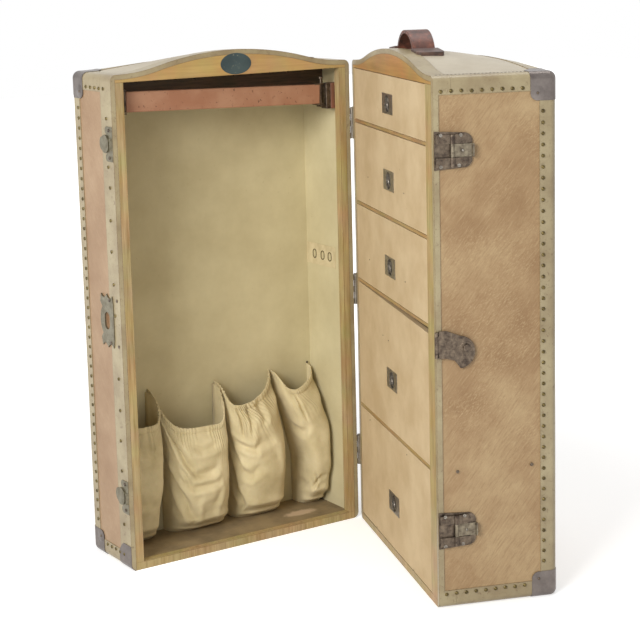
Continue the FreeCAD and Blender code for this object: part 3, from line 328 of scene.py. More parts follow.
# %% [markdown]
# ## Boards, paint and paper inside
# The frames are hardwood under old varnish or cream paint, the drawer fronts and the
# lining are paper-faced. Grain is a noise stretched along the board, paper a fine
# mottle with foxing: small brown spots, and clouds where damp has been.

# %% Wood
GRAIN_STRETCH = 18.0


def wood(name, dark, light, along, grain_mm, edge=None):
    """Wood whose grain runs along the given direction, with worn edges if asked for."""
    material, tree, shell, place = finish_named(name, Roughness=0.5)
    angle = math.atan2(along.y, along.x)
    flat = add(tree, "ShaderNodeVectorRotate", {"Vector": place, "Angle": -angle},
               rotation_type="Z_AXIS")
    upright = abs(along.z) > 0.5
    squeeze = (1, 1, 1 / GRAIN_STRETCH) if upright else (1 / GRAIN_STRETCH, 1, 1)
    drawn = add(tree, "ShaderNodeVectorMath", {0: flat.outputs["Vector"], 1: squeeze},
                operation="MULTIPLY")
    grain = mottle(tree, drawn.outputs["Vector"], grain_mm,
                   Detail=6.0, Roughness=0.65, Distortion=0.4)
    wear = mottle(tree, place, 70, "Color", Detail=4.0)
    tint = ramp(tree, grain, (0.32, dark), (0.68, light))
    tint = stain_over(tree, tint, 0.35, wear, "SOFT_LIGHT")
    if edge:
        worn = combine(tree, "MULTIPLY", edge_wear_and_shade(tree, 2.6), level(tree, grain, 0.3, 0.5, 0.85))
        tint = stain_over(tree, tint, worn, edge)
    coat(tree, shell, tint, grain, 0.3, 0.3)
    return material


header_wardrobe = wood("varnished_header", "#AA8854", "#BD9A61", ACROSS, 9.0, "#6E5126")
header_drawers = wood("varnished_header_drawers", "#9D7744", "#B88C54", latch_way, 9.0, "#5F421F")
cream_frame = wood("cream_painted_frame", "#937949", "#B9A275", UP, 6.0, "#6A4E2B")
# Dark brown for the roof stitches, and painted shade on the ceiling board and hanger rail.
dark_brown_and_painted_shade = wood("dark_brown_with_painted_shade", "#33261B", "#5C4632", ACROSS, 4.0)
runner_wood = wood("plain_runner_wood", "#8E7148", "#B2925F", latch_way, 5.0)
catch_wood = wood("stained_catch_block", "#5A3527", "#8A5A44", UP, 4.0)
print("woods ready")


# %% Paper and cloth facings
def facing(name, dark, light, spots, cloud_mm=90, weave_mm=0.9):
    """Paper or thin cloth glued to board, with clouds, foxing and a fine tooth."""
    material, tree, shell, place = finish_named(name, Roughness=0.78)
    clouds = mottle(tree, place, cloud_mm, Detail=5.0, Roughness=0.6)
    foxing = mottle(tree, place, 11, Detail=4.0, Roughness=0.7)
    tooth = mottle(tree, place, weave_mm, Detail=2.0)
    tint = stain_over(tree, ramp(tree, clouds, (0.35, dark), (0.65, light)),
                      ramp(tree, foxing, (0.68, 0.0), (0.76, 0.6)), spots)
    coat(tree, shell, tint, tooth, 0.25, 0.4)
    return material


drawer_facing = facing("drawer_front_paper", "#BDA47D", "#CCB58F", "#8C6B45")
lining = facing("lining_paper", "#BFB28A", "#CFC39B", "#8A7650", 160)
canvas_floor = facing("worn_floor_canvas", "#7A694C", "#97835F", "#4C3F2C", 60, 1.4)
webbing = facing("cotton_webbing", "#BFAE86", "#D2C29A", "#6A5A3C", 20, 1.6)


def worn_patch(material, centre, reach, pale):
    """Rubs an oval patch of the material pale."""
    tree = material.node_tree
    shell = tree.nodes["Principled BSDF"]
    place = add(tree, "ShaderNodeTexCoord").outputs["Object"]
    ragged = mottle(tree, place, 14, Detail=5.0, Roughness=0.7)
    offset = add(tree, "ShaderNodeVectorMath", {0: place, 1: tuple(centre)}, operation="SUBTRACT")
    shares = add(tree, "ShaderNodeVectorMath", {0: offset.outputs["Vector"], 1: reach},
                 operation="DIVIDE")
    far = add(tree, "ShaderNodeVectorMath", {0: shares.outputs["Vector"]}, operation="LENGTH")
    ring = combine(tree, "ADD", far.outputs["Value"], ragged)
    under = shell.inputs["Base Color"].links[0].from_socket
    tint = stain_over(tree, under, level(tree, ring, 1.6, 1.2, 0.85), pale)
    tree.links.new(tint, shell.inputs["Base Color"])


worn_patch(canvas_floor, on_wardrobe(187 * MM, 80 * MM, 12 * MM),
           (46 * MM, 17 * MM, 1.0), "#C9B091")
print("papers ready")


# %% Paint, enamel and leather
def flaking_paint(name, paint, faded, under):
    material, tree, shell, place = finish_named(name, Roughness=0.5)
    fading = mottle(tree, place, 55, Detail=4.0)
    flakes = mottle(tree, place, 9, Detail=8.0, Roughness=0.7)
    tint = stain_over(tree, ramp(tree, fading, (0.35, paint), (0.65, faded)),
                      ramp(tree, flakes, (0.61, 0.0), (0.66, 0.85)), under)
    coat(tree, shell, tint, flakes, 0.4, 0.3)
    return material


def leather(name, dark, light, worn):
    material, tree, shell, place = finish_named(name, Roughness=0.48)
    grain = add(tree, "ShaderNodeTexVoronoi", {
        "Vector": place, "Scale": feature(1.8)}, feature="DISTANCE_TO_EDGE")
    wear = mottle(tree, place, 22, Detail=6.0, Roughness=0.65)
    tint = ramp(tree, wear, (0.36, dark), (0.54, light), (0.72, worn))
    coat(tree, shell, tint, grain.outputs["Distance"], 0.5, 0.4)
    return material


bar_paint = flaking_paint("salmon_oil_paint", "#9C6B4F", "#AC8063", "#4E3226")
badge_enamel = flaking_paint("dark_badge_enamel", "#2B3A3D", "#3C4C4D", "#8C8A74")
strap_leather = leather("oiled_bridle_leather", "#3E2822", "#663D30", "#8E5743")
tab_leather = leather("dark_tab_leather", "#3F302B", "#5E463C", "#7C6153")
print("paint and leather ready")

# %% [markdown]
# ## Dress the hard pieces
# Each ready made piece gets its finish by name, and the five drawers are dressed
# alike. The plain shoe pouches stay bare, since sheets of cloth will replace them.

# %% Give each piece its finish
drawers = range(1, 6)
wearers = [
    (covering_of_wardrobe_half, ["hanging_back_panel", "hanging_latch_wall",
                                 "hanging_hinge_wall", "hanging_base_board"]),
    (covering_of_drawer_half, ["drawer_back_panel", "drawer_latch_wall",
                               "drawer_hinge_wall", "drawer_base_board"]),
    (covering_of_roof, ["hanging_domed_top", "drawer_domed_top"]),
    (binding_fibre, ["hanging_edge_binding", "drawer_edge_binding"]),
    (cap_steel, ["hanging_corner_caps", "drawer_corner_caps"]),
    (cream_frame, ["hanging_front_frame", "drawer_front_frame"]),
    (header_wardrobe, ["hanging_header_board"]),
    (header_drawers, ["drawer_header_board"]),
    # The ceiling board and hanger rail are dark as painted shade for the band above the bar.
    (dark_brown_and_painted_shade, ["hanging_ceiling_board", "hanger_rail"]),
    (runner_wood, ["drawer_dividers", "drawer_guides"]),
    (lining, ["hanging_lining"]),
    (canvas_floor, ["hanging_floor_cloth"]),
    (webbing, ["eyelet_tape"]),
    (nail_brass, ["tape_eyelets"]),
    (bar_paint, ["garment_bar"]),
    (catch_wood, ["bar_catch_block"]),
    (badge_enamel, ["blank_oval_plate"]),
    (latch_iron, ["bar_brackets", "bar_end_fittings", "bar_catch_bolt",
                  "draw_latch_bases", "lock_hasp_hinge", "lock_hasp"]),
    (leaf_steel, ["upper_latch_leaf", "lower_latch_leaf"]),
    (strike_steel, ["draw_latch_strikes", "lock_plate"]),
    (hinge_steel, ["hinge_leaves_hanging", "hinge_leaves_drawer", "hinge_pins"]),
    (strap_leather, ["handle_strap"]),
    (tab_leather, ["handle_tabs"]),
    (drawer_facing, [f"drawer_{number}_box" for number in drawers]),
    (pull_nickel, [f"drawer_{number}_{part}" for number in drawers
                   for part in ("pull_plate", "bail")]),
]
bare = set(frame["nodes"])
for finish, names in wearers:
    for name in names:
        worn_by = frame["nodes"][name].data.materials
        worn_by.clear()
        worn_by.append(finish)
        bare.remove(name)
print("not dressed:", sorted(bare))

# %% [markdown]
# ## Round the edges
# Pressed steel, cast iron, leather and worn wood all catch the light along their
# edges, and a dead sharp edge catches none. Each such piece is copied, its doubled
# corners are merged, its flat faces are made whole again, and a narrow bevel rounds
# what is left. Weighted normals then keep the flat faces even. The copy stands for the
# ready made piece. Drawers 4 and 5 stay sharp: rounded, they touch the boards beside
# them on their way out.

# %% Rounded copies
bodies = frame["record"]["behaviour"]["bodies"]
body_of = {node: body for body, nodes in bodies.items() for node in nodes}

rounded = {
    "draw_latch_bases": 0.5, "upper_latch_leaf": 0.5, "lower_latch_leaf": 0.5,
    "lock_hasp_hinge": 0.4, "lock_hasp": 0.6, "draw_latch_strikes": 0.4,
    "lock_plate": 0.6, "hinge_leaves_hanging": 0.4, "hinge_leaves_drawer": 0.4,
    "bar_brackets": 0.5, "bar_end_fittings": 0.4, "garment_bar": 1.2,
    "handle_strap": 1.0, "handle_tabs": 0.8, "bar_catch_block": 1.2,
    "drawer_front_frame": 1.6, "drawer_dividers": 0.8, "blank_oval_plate": 0.2,
}
rounded.update({f"drawer_{number}_pull_plate": 0.3 for number in drawers})
rounded.update({f"drawer_{number}_box": 1.0 for number in drawers if number < 4})


def apply_modifiers(piece):
    bpy.ops.object.select_all(action="DESELECT")
    piece.select_set(True)
    bpy.context.view_layer.objects.active = piece
    for modifier in list(piece.modifiers):
        bpy.ops.object.modifier_apply(modifier=modifier.name)


def bevelled(piece, width, segments, turn, smooth):
    """Rounds each edge that turns by more than some degrees, then shades smooth."""
    edge = piece.modifiers.new("edge", "BEVEL")
    edge.width = width
    edge.segments = segments
    edge.limit_method = "ANGLE"
    edge.angle_limit = math.radians(turn)
    apply_modifiers(piece)
    bpy.ops.object.shade_smooth_by_angle(angle=math.radians(smooth))


def softened(node, radius_mm):
    """A copy of a ready made piece with rounded edges, standing for it."""
    piece = bpy.data.objects.new(node + "_rounded", frame["nodes"][node].data.copy())
    bpy.context.scene.collection.objects.link(piece)
    apply_modifiers(piece)
    bpy.ops.object.mode_set(mode="EDIT")
    bpy.ops.mesh.select_all(action="SELECT")
    bpy.ops.mesh.remove_doubles(threshold=0.01 * MM)
    bpy.ops.mesh.dissolve_limited(angle_limit=math.radians(1.5))
    bpy.ops.object.mode_set(mode="OBJECT")
    bevelled(piece, radius_mm * MM, segments=2, turn=40, smooth=35)
    flats = piece.modifiers.new("flats", "WEIGHTED_NORMAL")
    flats.keep_sharp = True
    apply_modifiers(piece)
    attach(piece, body_of[node])
    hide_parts(node)
    return piece


rounded_pieces = {node: softened(node, radius) for node, radius in rounded.items()}
print(len(rounded_pieces), "rounded,",
      sum(len(piece.data.polygons) for piece in rounded_pieces.values()), "faces")

# %% [markdown]
# ## Nails, screws and rivets
# The fibre is held by small brass nails with domed heads, about 8 mm across and 22 mm
# apart. There are hundreds, so the head is modelled once with few faces, a ball cut
# in half and flattened, and copied along rows. The screws have low flat heads with a
# slot cut across. Copies that belong together are joined into one piece.

# %% Nail heads and a screw head
def edit_all(operation, **settings):
    bpy.ops.object.mode_set(mode="EDIT")
    bpy.ops.mesh.select_all(action="SELECT")
    operation(**settings)
    bpy.ops.object.mode_set(mode="OBJECT")


def nail_head(radius, height):
    bpy.ops.object.select_all(action="DESELECT")
    bpy.ops.mesh.primitive_uv_sphere_add(segments=8, ring_count=6, radius=radius)
    head = bpy.context.object
    edit_all(bpy.ops.mesh.bisect, plane_co=(0, 0, 0), plane_no=(0, 0, 1), clear_inner=True)
    edit_all(bpy.ops.transform.resize, value=(1, 1, height / radius))
    bpy.ops.object.shade_smooth()
    return head


def screw_head(radius, height):
    """A low cylinder with a slot sunk across its top."""
    slot_half = radius * 0.16
    bpy.ops.object.select_all(action="DESELECT")
    bpy.ops.mesh.primitive_cylinder_add(vertices=14, radius=radius, depth=height,
                                        location=(0, 0, height / 2))
    head = bpy.context.object
    bpy.ops.object.transform_apply(location=True)
    for side in (-1, 1):
        edit_all(bpy.ops.mesh.bisect, plane_co=(0, side * slot_half, 0), plane_no=(0, 1, 0))
    for face in head.data.polygons:
        face.select = face.center.z > height * 0.9 and abs(face.center.y) < slot_half
    bpy.ops.object.mode_set(mode="EDIT")
    bpy.ops.mesh.select_mode(type="FACE")
    bpy.ops.mesh.extrude_region_move(TRANSFORM_OT_translate={"value": (0, 0, -height * 0.6)})
    bpy.ops.object.mode_set(mode="OBJECT")
    bevelled(head, height * 0.25, segments=1, turn=30, smooth=30)
    return head


def set_out(master, name, seats, body, finish):
    """Copies of the master, one on each seat (place, outward way, turn), joined."""
    copies = []
    for place, outward, turn in seats:
        aim = Vector((0, 0, 1)).rotation_difference(outward).to_matrix().to_4x4()
        copy = bpy.data.objects.new(name, master.data.copy())
        copy.data.transform(Matrix.Translation(place) @ aim @ Matrix.Rotation(turn, 4, "Z"))
        bpy.context.scene.collection.objects.link(copy)
        copies.append(copy)
    bpy.ops.object.select_all(action="DESELECT")
    for copy in copies:
        copy.select_set(True)
    bpy.context.view_layer.objects.active = copies[0]
    bpy.ops.object.join()
    piece = bpy.context.object
    piece.name = piece.data.name = name
    piece.data.materials.clear()
    piece.data.materials.append(finish)
    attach(piece, body)


nail_master = nail_head(4.0 * MM, 1.9 * MM)
tack_master = nail_head(3.2 * MM, 1.8 * MM)
screw_master = screw_head(3.6 * MM, 1.2 * MM)
print("nail head", len(nail_master.data.polygons), "faces, screw head",
      len(screw_master.data.polygons))

# %% [markdown]
# The rows follow the bindings 30 mm in from the edges. A row is given by its two
# ends, and the pitch is stretched a little so that it ends on a nail. A steady hand
# still leaves a nail a fraction of a millimetre out, which a seeded random source
# copies here. Beside the opening of the wardrobe the nails are few and less in line.

# %% Rows of nails
NAIL_INSET, NAIL_PITCH, CAP_ROOM = 30, 21.8, 72
ROOM_BELOW, ROOM_ABOVE = 48, 47
top_row, bottom_row = 1050, 30
half_wide = half_width / MM
wardrobe_back, drawer_back = wardrobe_depth / MM, drawer_depth / MM
hand = random.Random(7)


def row(start, end, pitch=NAIL_PITCH):
    steps = max(1, round(abs(end - start) / pitch))
    return [start + (end - start) * k / steps for k in range(steps + 1)]


upright_row = row(bottom_row + ROOM_BELOW, top_row - ROOM_ABOVE)


def wall_nails(depth, front):
    """Places (back, up) of the nails of one side wall."""
    places = [(depth - NAIL_INSET, z) for z in upright_row]
    for height in (top_row, bottom_row):
        places += [(y, height) for y in row(front, depth - CAP_ROOM)]
    return places


def seats_of_half(put, way, depth, latch_sign, latch_front, hinge_front):
    """Nail seats of a half: both walls and the back."""
    seats = []
    for sign, front in ((latch_sign, latch_front), (-latch_sign, hinge_front)):
        for y, z in wall_nails(depth, front):
            seats.append((put(sign * half_wide, y, z), way(sign, 0, 0)))
    side, end = half_wide - NAIL_INSET, half_wide - CAP_ROOM
    for x in (-side, side):
        seats += [(put(x, depth, z), way(0, 1, 0)) for z in upright_row]
    for z in (bottom_row, top_row):
        seats += [(put(x, depth, z), way(0, 1, 0)) for x in row(-end, end)]
    return [(place, outward, hand.uniform(0, 3)) for place, outward in seats]


HAND_ERROR = 0.5


def put_wardrobe(x, y, z):
    return on_wardrobe(x * MM, y * MM, (z + hand.uniform(-HAND_ERROR, HAND_ERROR)) * MM)


def put_drawers(x, y, z):
    return on_drawers(x * MM, y * MM, (z + hand.uniform(-HAND_ERROR, HAND_ERROR)) * MM)


def wardrobe_way(x, y, z):
    return Vector((x, y, z))


wardrobe_seats = seats_of_half(put_wardrobe, wardrobe_way, wardrobe_back,
                               latch_sign=-1, latch_front=34, hinge_front=24)
drawer_seats = seats_of_half(put_drawers, drawer_way, drawer_back,
                             latch_sign=1, latch_front=16, hinge_front=24)
FRONT_INSET, FRONT_SPREAD = 26, 5
for z in (988, 886, 842, 772, 704, 634, 566, 428, 358, 290, 222, 100):
    y = FRONT_INSET + hand.uniform(-FRONT_SPREAD, FRONT_SPREAD)
    wardrobe_seats.append((put_wardrobe(-half_wide, y, z), -ACROSS, 0))
set_out(nail_master, "nails_of_wardrobe_half", wardrobe_seats, "hanging_half", nail_brass)
set_out(nail_master, "nails_of_drawer_half", drawer_seats, "drawer_half", nail_brass)
print(len(wardrobe_seats) + len(drawer_seats), "nails")

# %% [markdown]
# The ironwork stands a little proud of the walls. A ray sent in from outside finds the
# surface that a screw or rivet sits on.

# %% Screws of the ironwork
upper_latch, lower_latch = shoulder / MM - 145, 165
hasp_height = (upper_latch + lower_latch) / 2
REACH = 40 * MM


def seat_on(nodes, place, outward, turn=0.6):
    """A seat on the outermost surface of the named pieces at a place."""
    best = place
    for node in nodes:
        piece = rounded_pieces.get(node, frame["nodes"][node])
        hit, spot, _, _ = piece.ray_cast(place + outward * REACH, -outward, distance=2 * REACH)
        if hit and (spot - best).dot(outward) > 0:
            best = spot
    return (best, outward, turn)


def on_latch_wall(y, z):
    """A place on the drawer half's latch wall."""
    return on_drawers(half_width, y * MM, z * MM)


def on_lock_wall(y, z):
    """A place on the wardrobe half's latch wall."""
    return on_wardrobe(-half_width, y * MM, z * MM)


# Places of screws, back from the opening and up from the middle of what they hold.
base_holes = ((13, 31), (54, 30), (13, -31), (50, -29))
strike_holes = ((15, 29), (15, -29))
plate_holes = ((14, 50), (46, 47), (14, -50), (46, -47))
WALL_SCREW_HEIGHT = 286

drawer_screws = [
    seat_on(["draw_latch_bases"], on_latch_wall(y, height + z), latch_way, 0.5 + y / 9)
    for height in (upper_latch, lower_latch) for y, z in base_holes]
wall_screws = [(on_latch_wall(y, WALL_SCREW_HEIGHT), latch_way, turn)
               for y, turn in ((42, 1.0), (200, 0.3))]
wardrobe_screws = [
    seat_on(["draw_latch_strikes"], on_lock_wall(y, height + z), -ACROSS, 0.4)
    for height in (upper_latch, lower_latch) for y, z in strike_holes]
wardrobe_screws += [
    seat_on(["lock_plate"], on_lock_wall(y, hasp_height + z), -ACROSS, y / 7)
    for y, z in plate_holes]
set_out(screw_master, "screws_of_latch_bases", drawer_screws, "drawer_half", pull_nickel)
set_out(screw_master, "screws_of_drawer_half", wall_screws, "drawer_half", latch_iron)
set_out(screw_master, "screws_of_wardrobe_half", wardrobe_screws, "hanging_half", latch_iron)
print(len(drawer_screws) + len(wall_screws) + len(wardrobe_screws), "screws")

# %% [markdown]
# Each corner cap ends in a round ear with one rivet, where the steel is drawn over
# the panel. The ear is a flat disc with a rounded edge, set a hair above the cap, and
# the rivet is a small dome. The leaves of the two draw latches turn on a rivet too.

# %% Ears and rivets
EAR_RADIUS, EAR_THICKNESS, EAR_PROUD, EAR_INSET = 15.0, 1.5, 0.15, 41.0
LEAF_RIVET_BACK = 58
bpy.ops.object.select_all(action="DESELECT")
bpy.ops.mesh.primitive_cylinder_add(vertices=28, radius=EAR_RADIUS * MM,
                                    depth=EAR_THICKNESS * MM, location=(0, 0, 0))
ear_master = bpy.context.object
bevelled(ear_master, 0.5 * MM, segments=2, turn=30, smooth=40)
rivet_master = nail_head(3.0 * MM, 1.7 * MM)
for body, caps, put, way, depth in (
        ("hanging_half", "hanging_corner_caps", on_wardrobe, wardrobe_way, wardrobe_depth),
        ("drawer_half", "drawer_corner_caps", on_drawers, drawer_way, drawer_depth)):
    inset = EAR_INSET * MM
    ears = []
    for z in (inset, shoulder - inset):
        for side in (-1, 1):
            ears.append(seat_on([caps], put(side * half_width, depth - inset, z), way(side, 0, 0)))
            ears.append(seat_on([caps], put(side * (half_width - inset), depth, z), way(0, 1, 0)))
    sunk = [(place - outward * (EAR_THICKNESS / 2 - EAR_PROUD) * MM, outward, turn)
            for place, outward, turn in ears]
    set_out(ear_master, caps + "_ears", sunk, body, cap_steel)
    set_out(rivet_master, caps + "_rivets", ears, body, latch_iron)
for latch, height in (("upper_latch", upper_latch), ("lower_latch", lower_latch)):
    seat = seat_on([latch + "_leaf"], on_latch_wall(LEAF_RIVET_BACK, height), latch_way)
    set_out(rivet_master, latch + "_leaf_rivet", [seat], latch + "_body", pull_nickel)

# %% [markdown]
# Small wire staples hold the paper on the drawer fronts, and one tack holds the outer
# corner of the last pouch. The roof's hide is sewn to the binding along the latch side
# with short dark stitches, each a drawn out half ball.

# %% Staples, a tack and a seam
FRONTS_BACK = 12
staple_master = nail_head(1.7 * MM, 0.7 * MM)
# Places of the staples, across from the hinge side and up from the ground.
staples = {2: [(119, 826), (395, 826)], 3: [(119, 640), (395, 640)],
           4: [(217, 488), (260, 485)], 5: [(95, 263), (386, 264), (137, 21), (424, 20)]}
for number, spots in staples.items():
    seats = [seat_on([f"drawer_{number}_box"],
                     on_drawers(x * MM - half_width, FRONTS_BACK * MM, z * MM), outwards)
             for x, z in spots]
    set_out(staple_master, f"staples_of_drawer_{number}", seats, f"drawer_{number}", latch_iron)

tack_place = on_wardrobe(276 * MM, 172 * MM, 348 * MM)
set_out(tack_master, "tack_of_last_pouch", [seat_on(["hanging_lining"], tack_place, -BACK)],
        "hanging_half", latch_iron)

STITCH_LONG, STITCH_PITCH, SEAM_INSET = 2.6, 8.0, 21.0
SEAM_FRONT, SEAM_BACK = 14, 52
stitch_master = nail_head(1.0 * MM, 0.6 * MM)
edit_all(bpy.ops.transform.resize, value=(STITCH_LONG, 0.9, 1))
along_roof = math.atan2(back_way.y, back_way.x)
seam = [seat_on(["drawer_edge_binding", "drawer_domed_top"],
                on_drawers(half_width - SEAM_INSET * MM, y * MM, shoulder), UP, along_roof)
        for y in row(SEAM_FRONT, drawer_back - SEAM_BACK, STITCH_PITCH)]
set_out(stitch_master, "seam_of_drawer_roof", seam, "drawer_half", dark_brown_and_painted_shade)
for master in (nail_master, tack_master, screw_master, ear_master, rivet_master,
               staple_master, stitch_master):
    bpy.data.objects.remove(master)
print(len(seam), "stitches")

# %% [markdown]
# ## Shoe pouches
# Four pouches of unbleached cotton stand side by side along the foot of the wardrobe
# half. Each is one cloth, tacked to the back board down both its sides and gathered
# at the top on a cord that runs in a hem. Worn cloth like this is full of swags and
# creases, so it is neither a box nor a smooth bowl. It could be simulated, but the
# swags come from years of shoes, so they are laid one by one here. A sheet is bent by
# a formula for its plan at each height, then creases are pressed into it.

# %% The plan of a pouch
POUCH_BACK, POUCH_FLOOR, POUCH_PEAK = 175.9, 12.3, 344.0
FOLDED_UNDER = 0.12

# Each list gives a value at shares of the height, from the foot at 0 to the rim at 1.
DEPTH = [(-1, 0.42), (0, 0.42), (0.05, 0.62), (0.15, 0.86), (0.42, 1), (0.75, 0.96), (1, 0.76)]
DRAWN_IN = [(-1, 1), (0, 1), (0.35, 0.97), (0.6, 0.6), (0.85, 0.15), (1, 0)]
NEAR_RIM = [(-1, 0), (0, 0), (0.62, 0), (0.82, 0.35), (1, 1)]
LEANING = [(-1, 0), (0, 0), (0.25, 0), (0.6, 1), (1, 1)]

pouches = {
    "pouch_1": dict(left=-284, right=-160, rim=286, tilt=0, reach=100, foot=(0, 6),
                    front=0.5, lean=13, low=(0.6, 0.5), high=(0.8, 0.5)),
    "pouch_2": dict(left=-156, right=15, rim=263, tilt=7, reach=104, foot=(28, 2),
                    front=0.5, lean=0, low=(0.6, 0.5), high=(0.85, 0.45)),
    "pouch_3": dict(left=19, right=168, rim=296, tilt=-2, reach=102, foot=(24, 2),
                    front=0.22, lean=0, low=(0.6, 0.5), high=(0.75, 1.4)),
    "pouch_4": dict(left=172, right=284, rim=309, tilt=0, reach=105, foot=(54, 0),
                    front=0.2, lean=0, low=(0.6, 0.4), high=(0.8, 1.5)),
}


def eased(share, knots):
    """Values that pass through the knots and ease in and out at each."""
    shares, values = np.array(knots).T
    step = np.interp(share, shares, np.arange(len(shares)))
    low = np.minimum(step.astype(int), len(shares) - 2)
    ease = (1 - np.cos(math.pi * (step - low))) / 2
    return values[low] + (values[low + 1] - values[low]) * ease


def pouch_plan(form, u, v):
    """Points of a pouch in millimetres, u across it and v up it, as x, y back and z."""
    cosine, sine = np.cos(math.pi * u), np.sin(math.pi * u)
    side = np.where(cosine > 0, 0, 1)
    drawn = np.interp(v, *np.array(DRAWN_IN).T)
    rim = eased(v, NEAR_RIM)
    left = form["left"] + form["foot"][0] * drawn
    right = form["right"] - form["foot"][1] * drawn
    low, high = np.array(form["low"])[side], np.array(form["high"])[side]
    power = low + (high - low) * rim
    front = left + (right - left) * (0.5 + (form["front"] - 0.5) * rim)
    # A low power makes a boxy corner, a high one a slack one.
    bow = np.abs(cosine) ** power
    out = np.maximum(sine, 0) ** np.minimum(power, 1.2)
    x = np.where(side == 0, front - (front - left) * bow, front + (right - front) * bow)
    x = x + form["lean"] * eased(v, LEANING) * out * (1 - cosine) / 2
    under = np.clip(1 + v / FOLDED_UNDER, 0, 1)
    y = POUCH_BACK - form["reach"] * eased(v, DEPTH) * out * under
    # The rim climbs to the tacked corners, the more suddenly the boxier it is.
    climb = 6.2 - 2.2 * high
    top = form["rim"] + form["tilt"] * cosine
    top = top + (POUCH_PEAK - form["rim"]) * np.abs(cosine) ** climb
    z = POUCH_FLOOR + (top - POUCH_FLOOR) * np.maximum(v, 0)
    return np.stack([x, y, z], axis=-1)


print("pouches from", pouches["pouch_1"]["left"], "to", pouches["pouch_4"]["right"], "mm")

# %% [markdown]
# A crease is a line on the cloth, with a depth and a width in millimetres. Beside the
# valley the cloth stands up in a lower ridge, which is what makes it look pressed in
# and not dented. Near the rim the cord bunches the cloth, so small pleats start in
# the hem and die out below it. Fine, slow noise takes away what is left of evenness.

# %% Creases, pleats and hem
HEM, HEM_PUFF = 13.0, 1.7
PLEAT, PLEAT_DEPTH, PLEAT_REACH = 8.5, 2.3, 28.0

creases = {
    "pouch_1": [
        (4, 10, [(0.42, 0.92), (0.5, 0.84), (0.54, 0.77), (0.62, 0.76)]),
        (3, 9, [(0.40, 0.72), (0.49, 0.68), (0.56, 0.70)]),
        (3, 10, [(0.38, 0.50), (0.5, 0.38), (0.58, 0.36)])],
    "pouch_2": [
        (7, 11, [(0.19, 0.90), (0.28, 0.82), (0.38, 0.66), (0.46, 0.57)]),
        (8, 12, [(0.04, 0.47), (0.14, 0.40), (0.28, 0.30), (0.41, 0.17)]),
        (4, 8, [(0.44, 0.84), (0.5, 0.80), (0.56, 0.83)]),
        (4, 8, [(0.44, 0.58), (0.5, 0.58), (0.54, 0.63)]),
        (5, 8, [(0.28, 0.50), (0.40, 0.46), (0.54, 0.48)]),
        (4, 9, [(0.30, 0.62), (0.35, 0.53), (0.42, 0.52)]),
        (3, 9, [(0.5, 0.14), (0.51, 0.26), (0.56, 0.40)])],
    "pouch_3": [
        (5, 10, [(0.05, 0.70), (0.09, 0.53), (0.18, 0.40), (0.32, 0.40), (0.44, 0.47)]),
        (7, 9, [(0.01, 0.58), (0.03, 0.38), (0.11, 0.23), (0.22, 0.12)]),
        (5, 8, [(0.14, 0.62), (0.28, 0.64), (0.42, 0.62), (0.52, 0.69)]),
        (5, 6, [(0.37, 0.98), (0.33, 0.85), (0.29, 0.73)]),
        (4, 6, [(0.54, 0.98), (0.48, 0.89), (0.43, 0.76)]),
        (4, 6, [(0.68, 0.98), (0.61, 0.90), (0.54, 0.82)]),
        (2, 12, [(0.53, 0.81), (0.52, 0.61), (0.57, 0.48)])],
    "pouch_4": [
        (4, 9, [(0.02, 0.62), (0.10, 0.60), (0.25, 0.63), (0.42, 0.71)]),
        (4, 6, [(0.44, 0.95), (0.40, 0.84), (0.41, 0.76)]),
        (3, 8, [(0.02, 0.20), (0.06, 0.16), (0.19, 0.17)]),
        (3, 6, [(0.34, 0.28), (0.48, 0.19)]),
        (3, 6, [(0.31, 0.16), (0.50, 0.26)])],
}


def crease_relief(u, v, wide, tall, depth, width, line):
    """How far a crease moves the cloth outwards, in millimetres."""
    nearest = np.full(u.shape, 1e9)
    beside = np.zeros(u.shape)
    along = np.zeros(u.shape)
    pieces = len(line) - 1
    for number, ((u0, v0), (u1, v1)) in enumerate(zip(line, line[1:])):
        run = np.array([(u1 - u0) * wide, (v1 - v0) * tall])
        offset = np.stack([(u - u0) * wide, (v - v0) * tall], axis=-1)
        share = np.clip(offset @ run / (run @ run), 0, 1)
        gap = offset - share[..., None] * run
        distance = np.hypot(gap[..., 0], gap[..., 1])
        closer = distance < nearest
        nearest = np.where(closer, distance, nearest)
        turn = np.sign(run[0] * gap[..., 1] - run[1] * gap[..., 0])
        beside = np.where(closer, distance * turn, beside)
        along = np.where(closer, (number + share) / pieces, along)
    valley = np.exp(-(nearest / width) ** 2)
    ridge = np.exp(-((np.abs(beside) - 1.9 * width) / width) ** 2)
    fade = np.minimum(1, 0.35 + 2.6 * np.minimum(along, 1 - along))
    return 1.3 * depth * fade * (0.45 * ridge - valley)


def rim_relief(u, v, wide, tall, phase):
    """The puffed hem, its stitches and the pleats that hang from it."""
    below = (1 - v) * tall
    wobble = 1.6 * np.sin(u * 23 + phase) + 1.1 * np.sin(u * 41 + 2 * phase)
    pleat = np.sin(2 * math.pi * u * wide / PLEAT + wobble)
    uneven = 0.65 + 0.35 * np.sin(u * 17 + 3 * phase)
    hang = np.exp(-np.maximum(below - HEM, 0) / PLEAT_REACH)
    hem = np.where(below < HEM, HEM_PUFF * np.sin(math.pi * np.clip(below / HEM, 0, 1)), 0)
    stitches = -1.6 * np.exp(-((below - HEM) / 1.6) ** 2)
    return hem + stitches + PLEAT_DEPTH * uneven * pleat * hang


print(sum(len(lines) for lines in creases.values()), "creases")

# %% [markdown]
# Each sheet starts as a flat grid whose UV map is its share across and up. The grid is
# bent to the plan, then moved along its own normals by the relief. It is held still
# along its tacked sides and its foot, and kept clear of the walls and the back.

# %% Bend a sheet for each pouch
ACROSS_STEPS, UP_STEPS = 210, 160
STEP, WALL_ROOM = 0.004, 22
DRIFTS = ((46, 2.4), (15, 0.7))


